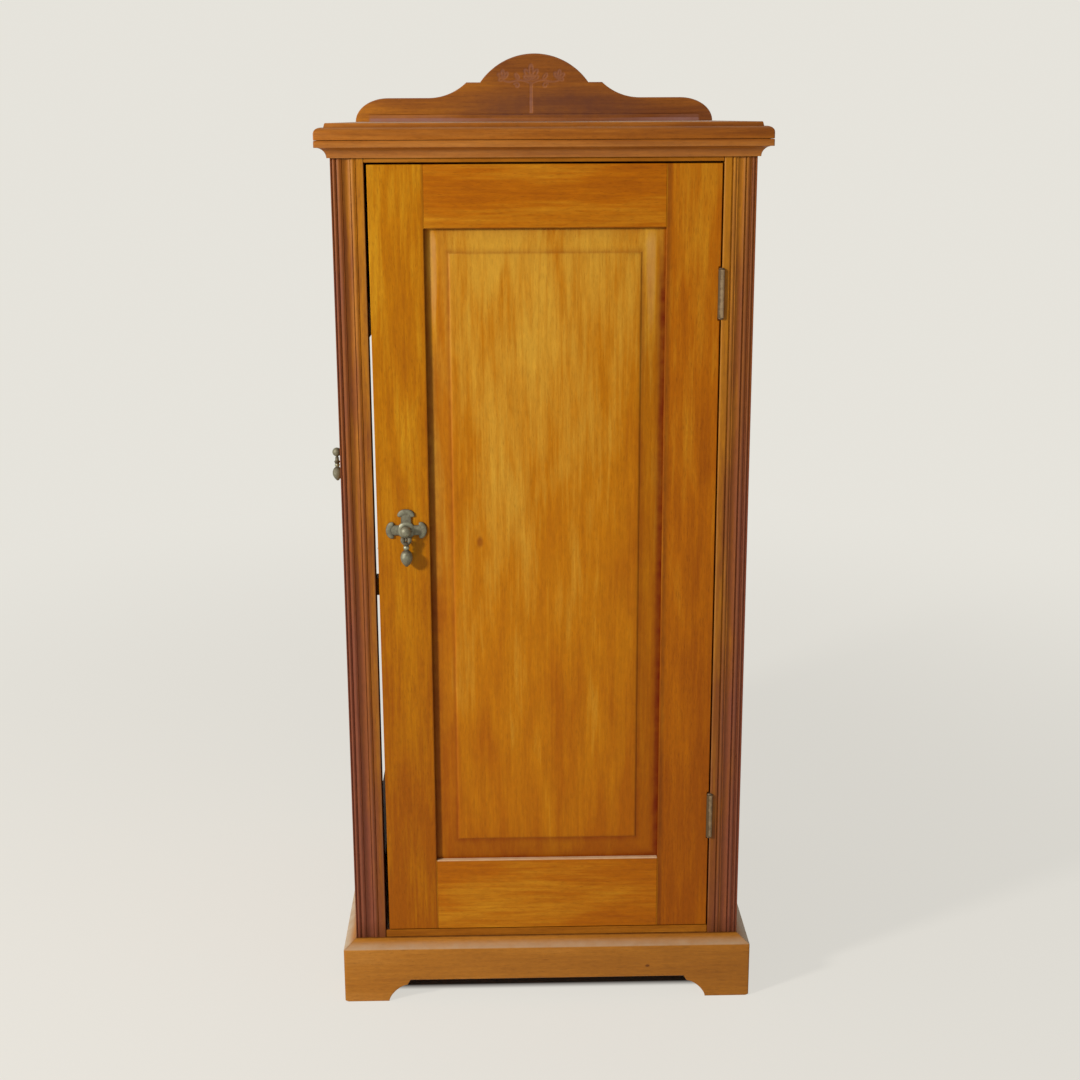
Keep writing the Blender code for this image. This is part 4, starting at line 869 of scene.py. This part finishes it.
# Drop handles: cast brass gone grey-green. A plate with three trefoil arms is pinned to the stile,
# a ball knob on the latch's spindle carries an eye, and a pear-shaped drop hangs from it by a fork.
HANDLE_BRASS = mottled_metal("handle_brass", (0.285, 0.285, 0.195), (0.070, 0.050, 0.026), 0.52, 0.70, 0.42,
                             121.0)
PLATE, PLATE_DISC, ARM_HALF = 0.0028, 0.0102, 0.0058
ARMS = ((1.0, 0.0, 0.0233), (0.0, 1.0, 0.0246), (-1.0, 0.0, 0.0233))
KNOB_CENTRE, KNOB, PIVOT_BELOW = 0.0088, 0.0062, 0.0094
SPINDLE, SPINDLE_TAIL, TONGUE, STILE_THICKNESS = 0.0026, 0.0015, 0.002, 0.020
DROP_LINE = ((2.4, 1.4), (2.8, 3.0), (3.6, 3.9), (4.6, 4.0), (5.4, 3.7), (6.0, 3.2), (6.5, 2.6), (6.9, 2.7),
             (7.6, 3.2), (8.6, 3.5), (9.6, 3.5), (10.6, 3.1), (11.3, 2.6), (11.8, 2.4), (12.3, 2.9),
             (13.2, 4.2), (15.0, 5.5), (17.0, 6.3), (19.0, 6.75), (21.0, 6.8), (23.0, 6.5), (25.0, 5.8),
             (27.0, 4.7), (28.4, 3.7), (29.4, 2.7), (30.2, 2.0), (30.8, 1.6), (31.1, 0.9), (31.2, 0.3))
FORK_LINE = ((-2.9, 3.9, 0.8, 0.6), (-2.6, 3.9, 1.8, 1.5), (-1.6, 3.9, 2.5, 2.2), (0.0, 3.9, 2.6, 2.6),
             (1.5, 3.8, 2.5, 2.6), (3.0, 3.4, 2.3, 2.7), (4.5, 2.4, 2.1, 2.8), (5.8, 1.3, 1.8, 2.6))


def roll_shell(across, up, reach):
    """The curled end of an arm: an ellipse carried round a little more than half of a flattened
    circle, open to the middle and drawn in at both tips."""
    share = np.linspace(-1, 1, 25)[:, None]
    bend = math.radians(100) * share
    taper = np.sqrt(np.clip(1 - np.abs(share) ** 6, 0, 1)) * 0.94 + 0.06
    turn = full_turn(16)
    swell = 0.0034 * taper * np.cos(turn)
    u = reach - 0.0084 + (0.0050 + swell) * np.cos(bend)
    v = (0.0070 + swell) * np.sin(bend)
    rings = points(*swing(u, v, across, up), 0.0013 + 0.0013 * taper * np.sin(turn))
    # The tarnish is thickest on the curl's back, next to the door: a painted dark rim of shade.
    return rings, 0.80 - 0.90 * np.sin(turn), "flat"


def arm_shell(across, up, reach):
    """A flat arm of the plate, with a round end: its outline is a stadium, carried up four levels."""
    turn = degrees(-90, 90, 14)
    along = np.r_[0.0, reach - ARM_HALF - 0.0020 + ARM_HALF * np.cos(turn), 0.0]
    beside = ARM_HALF * np.r_[-1, np.sin(turn), 1]
    centre = reach * 0.55
    # The arm is darkest at its foot, next to the door: a painted dark rim of shade.
    level, shrink, age_and_shading = np.array(((0.0003, 0.99, 0.8), (0.0013, 1.0, 0.7), (0.0019, 0.93, 0.35),
                                   (0.0021, 0.6, 0.05), (0.0021, 0.2, 0.05))).T[..., None]
    return points(*swing(centre + (along - centre) * shrink, beside * shrink, across, up), level), age_and_shading, "flat"


def plate_shells():
    """A cast plate: a domed middle with a hole for the spindle, and three flat arms that each end
    in a curl."""
    dome = [(0.0003, 0.0034), (0.0003, 0.0099), (0.0012, PLATE_DISC), (0.0019, 0.0096), (0.0025, 0.0084),
            (0.0029, 0.0070), (0.0030, 0.0056), (0.0027, 0.0050), (0.0026, 0.0034)]
    # The dome is darkest at its foot, next to the door: a painted dark rim of shade.
    dome_age = [0.8, 0.9, 0.6, 0.1, -0.15, -0.2, -0.1, 0.6, 0.8]
    shells = [turned_shell((0, 0, 0), UP, dome, 48, dome_age, "loop")]
    for arm in ARMS:
        shells += [arm_shell(*arm), roll_shell(*arm)]
    return shells


def cheek_shell(side):
    """One side of the drop's fork: ellipses from beside the eye that draw in to the neck below it."""
    down, middle, wide, thick = np.array(FORK_LINE).T[..., None] / 1000
    turn = full_turn(24)
    rings = points(side * (middle + wide * np.cos(turn)), -PIVOT_BELOW - down,
                   KNOB_CENTRE + thick * np.sin(turn))
    return rings, np.interp(down, [-0.003, 0.0, 0.006], [0.5, 0.25, 0.6]), "flat"


def handle(prefix, door, latch, swinging, at, out, across, tongue_gap):
    """One handle. A place in it is worked out across, up and out from the middle of the boss."""
    def cast(name, shells, body, node):
        """Carries shells to the handle's own place and makes one brass piece of them."""
        placed = [(at + rings @ np.stack((across, UP, out)), age_and_shading, ends) for rings, age_and_shading, ends in shells]
        put_together(f"{prefix}_{name}", placed, HANDLE_BRASS, body, [f"{prefix}_{node}"])

    cast("cast_plate", plate_shells(), door, "handle_plate")
    inner = -STILE_THICKNESS - tongue_gap - TONGUE - SPINDLE_TAIL
    turn = degrees(-46, 88, 16)
    stem = [(inner, SPINDLE * 0.8), (inner + 0.0004, SPINDLE)] + [(PLATE + rise, radius) for rise, radius in (
        (0.0003, SPINDLE), (0.0003, 0.0044), (0.0006, 0.0046), (0.0011, 0.0044), (0.0014, 0.0036),
        (0.0019, 0.0034))]
    stem += [(KNOB_CENTRE + KNOB * math.sin(t), KNOB * math.cos(t)) for t in turn]
    knob_age = np.r_[0.4, 0.4, 0.4, 0.4, 0.2, 0.5, 0.9, 0.9,
                     np.interp(turn, [-0.8, -0.2, 0.6, 1.5], [0.8, 0.1, -0.1, -0.2])]
    eye_at = (0.0, -PIVOT_BELOW, KNOB_CENTRE)
    eye = [(-0.0010, 0.0007), (-0.0010, 0.0015), (-0.0006, 0.0019), (0.0006, 0.0019), (0.0010, 0.0015),
           (0.0010, 0.0007)]
    neck = [(-0.0030, 0.0013), (0.0012, 0.0012), (0.0020, 0.0010), (0.0028, 0.0009)]
    cast("ball_knob", [turned_shell((0, 0, 0), UP, stem, age_and_shading=knob_age),
                       turned_shell((0, -KNOB + 0.0010, KNOB_CENTRE), -Y, neck, 16, 0.5),
                       turned_shell(eye_at, X, eye, 24, 0.3, "loop")], latch, "knob")
    line = np.array(DROP_LINE) / 1000
    # The ball under the fork is painted bright, a painted highlight; the grooves between the turnings are
    # darker with tarnish.
    drop_age_and_highlight = np.interp(
        line[:, 0], [0.0024, 0.0054, 0.0066, 0.0072, 0.0090, 0.0112, 0.0120, 0.015, 0.021, 0.028, 0.0312],
        [0.5, 0.4, 0.8, -0.2, -1.0, 0.1, 0.8, 0.1, -0.1, 0.2, 0.5])
    pin = [(-0.0036, 0.00055), (0.0036, 0.00055)]
    cast("pear_drop", [turned_shell(eye_at, -Y, line, 40, drop_age_and_highlight), cheek_shell(-1), cheek_shell(1),
                       turned_shell(eye_at, X, pin, 12)], swinging, "drop")


front_boss = np.array([-0.1578, DOOR_FACE, 0.5837])
handle("front", DOOR, "front_latch", "front_drop_handle", front_boss, -Y, X, 0.0018)


# Latch tongues: flat brass bars on the inner ends of the spindles, which turn behind the keepers.
for seed, node in enumerate(("front_latch_tongue", "side_latch_tongue")):
    refinish(node, mottled_metal(f"{node}_brass", (0.40, 0.31, 0.17), (0.10, 0.07, 0.04), 0.45, 0.95, 0.36,
                                 131.0 + seed))


# Side door: framed like the front one and hung behind the left pilaster. It stands a little ajar,
# and light comes in past its free edge.
SIDE_DOOR, AJAR = "side_door", math.radians(5.8)
SIDE_WIDTH, SIDE_FACE, SIDE_STILE = 0.4672, 0.0015, 0.060
SWUNG = np.array([[math.cos(AJAR), -math.sin(AJAR), 0], [math.sin(AJAR), math.cos(AJAR), 0], [0, 0, 1]])
for node, grain, seed in (("side_door_latch_stile", "z", 141.0), ("side_door_hinge_stile", "z", 142.0),
                          ("side_door_top_rail", "y", 143.0), ("side_door_bottom_rail", "y", 144.0)):
    refinish(node, polished_wood(f"{node}_walnut", grain, DOOR_TONES, seed, (("z", 0.3, 0.45),), turn=-AJAR,
                                 **DOOR_GLOSS))
rings, age_and_shading = panel_rings((0.0008 + SIDE_STILE, 0.1035 + 0.078), (SIDE_WIDTH - SIDE_STILE, 0.7785 - 0.062),
                         SIDE_FACE, lambda a, d, z: SIDE_AXIS + points(d, a, z) @ SWUNG.T)
put_together("side_raised_panel", [(rings, age_and_shading, "flat")], polished_wood(
    "side_panel_walnut", "z", PANEL_TONES, 145.0, (("z", 0.4, 0.45),), dust_and_sheen=(0.60, 0.36, 0.10), turn=-AJAR,
    **DOOR_GLOSS), SIDE_DOOR, ["side_door_panel"], smooth=20.0)
hang("side", SIDE_DOOR, SIDE_AXIS, SIDE_HINGES, -Y, X, SWUNG)
side_boss = SIDE_AXIS + SWUNG @ np.array([SIDE_FACE, SIDE_WIDTH - 0.036, 0.5852])
handle("side", SIDE_DOOR, "side_latch", "side_drop_handle", side_boss, SWUNG @ -X, SWUNG @ -Y, 0.0052)


# Floor and light: a plain pale floor that takes the cupboard's shadow and fades to the same pale
# grey as the surroundings, under a large soft lamp at the upper left.
PALE = (0.790, 0.770, 0.712, 1.0)
GLOW_NEAR, LAMP_SIZE, LAMP_WATTS = 0.80, 0.40, 109.0


def seen_rays(tree):
    """One for rays from the camera, and for what it sees reflected or through glass."""
    path = wire(tree, "LightPath").node.outputs
    seen = reckon(tree, "ADD", path["Is Camera Ray"], path["Is Glossy Ray"])
    return reckon(tree, "ADD", seen, path["Is Transmission Ray"], clamp=True)


def pale_ground():
    """Near the cupboard the floor is part lit and part plain pale, which leaves a light shadow, and
    further away it is all plain pale. Right under the cupboard it is only lit, and its colour is
    painted dark there, as shadow."""
    made, tree, shader = new_paint("studio_floor_paint")
    tree.nodes.remove(shader)
    place = wire(tree, "TexCoord", out="Object")
    away = wire(tree, "VectorMath", {0: place}, "Value", operation="LENGTH")
    share = wire(tree, "MapRange", {
        "Value": away, "From Min": 0.45, "From Max": 2.2, "To Min": GLOW_NEAR, "To Max": 1.0},
        interpolation_type="SMOOTHSTEP")
    split = wire(tree, "SeparateXYZ", {"Vector": place}).node.outputs
    beside = reckon(tree, "DIVIDE", reckon(tree, "ABSOLUTE", split["X"]), HALF - 0.010)
    before = reckon(tree, "ABSOLUTE", reckon(tree, "SUBTRACT", split["Y"], (FRONT + BACK) / 2))
    before = reckon(tree, "DIVIDE", before, (BACK - FRONT) / 2 - 0.015)
    clear = wire(tree, "MapRange", {
        "Value": reckon(tree, "MAXIMUM", beside, before), "From Min": 0.96, "From Max": 1.01})
    share = reckon(tree, "MULTIPLY", share, clear)
    seen = seen_rays(tree)
    # Under the cupboard the floor's colour goes dark: a painted shadow.
    paint_with_shadow = blend_colour(tree, clear, (0.20, 0.18, 0.16, 1.0), (0.82, 0.775, 0.71, 1.0))
    painted = wire(tree, "BsdfDiffuse", {"Color": paint_with_shadow})
    glow = wire(tree, "Emission", {"Color": PALE, "Strength": 1.0})
    mixed = wire(tree, "MixShader", {0: reckon(tree, "MULTIPLY", share, seen), 1: painted, 2: glow})
    feed(tree, tree.nodes["Material Output"], {"Surface": mixed})
    return made


radius, turn = np.array([0.4, 0.8, 1.2, 1.8, 3.0, 6.0, 14.0, 40.0])[:, None], full_turn(64)
disc = points(radius * np.cos(turn), -0.2 + radius * np.sin(turn), 0.0)
index = np.arange(disc[..., 0].size).reshape(disc.shape[:2])
floor_mesh = bpy.data.meshes.new("studio_floor")
floor_mesh.from_pydata(disc.reshape(-1, 3).tolist(), [],
                       [face[::-1] for face in ring_faces(index, len(radius) - 1)] + [index[0].tolist()])
floor_mesh.materials.append(pale_ground())
floor = show("studio_floor", floor_mesh)

world = bpy.data.worlds.new("studio_surroundings")
bpy.context.scene.world = world
world.use_nodes = True
tree = world.node_tree
seen = seen_rays(tree)
sky = wire(tree, "Background", {"Color": (1.0, 0.98, 0.96, 1.0), "Strength": 0.32})
seen_sky = wire(tree, "Background", {"Color": PALE, "Strength": 1.0})
both = wire(tree, "MixShader", {0: seen, 1: sky, 2: seen_sky})
feed(tree, tree.nodes["World Output"], {"Surface": both})

light = bpy.data.lights.new("window_lamp", "AREA")
light.shape, light.size, light.energy, light.color = "DISK", LAMP_SIZE, LAMP_WATTS, (1.0, 0.985, 0.96)
lamp = show("window_lamp", light)
lamp.location = (-2.44, -2.09, 1.68)
away = lamp.location - type(lamp.location)((0.0, -0.40, 0.60))
lamp.rotation_euler = away.to_track_quat("Z", "Y").to_euler()


# Camera: where the photograph was taken from, found by fitting the corners of the cupboard.
YAW, PITCH, ROLL, FOCAL = -0.02429, 0.25014, -0.00414, 55.225
look = np.array([-math.sin(YAW) * math.cos(PITCH), math.cos(YAW) * math.cos(PITCH), -math.sin(PITCH)])
level = np.array([math.cos(YAW), math.sin(YAW), 0.0])
steep = np.cross(level, look)
right = math.cos(ROLL) * level + math.sin(ROLL) * steep
above = math.cos(ROLL) * steep - math.sin(ROLL) * level
lens = bpy.data.cameras.new("studio_camera")
lens.lens, lens.sensor_width = FOCAL, 36.0
camera = show("studio_camera", lens)
turned_to = np.eye(4)
turned_to[:3, :3] = np.stack((right, above, -look), axis=1)
turned_to[:3, 3] = (-0.05071, -2.3052, 1.03694)
camera.matrix_world = type(camera.matrix_world)(turned_to.tolist())
bpy.context.scene.camera = camera
bpy.context.scene.view_settings.view_transform = "Standard"
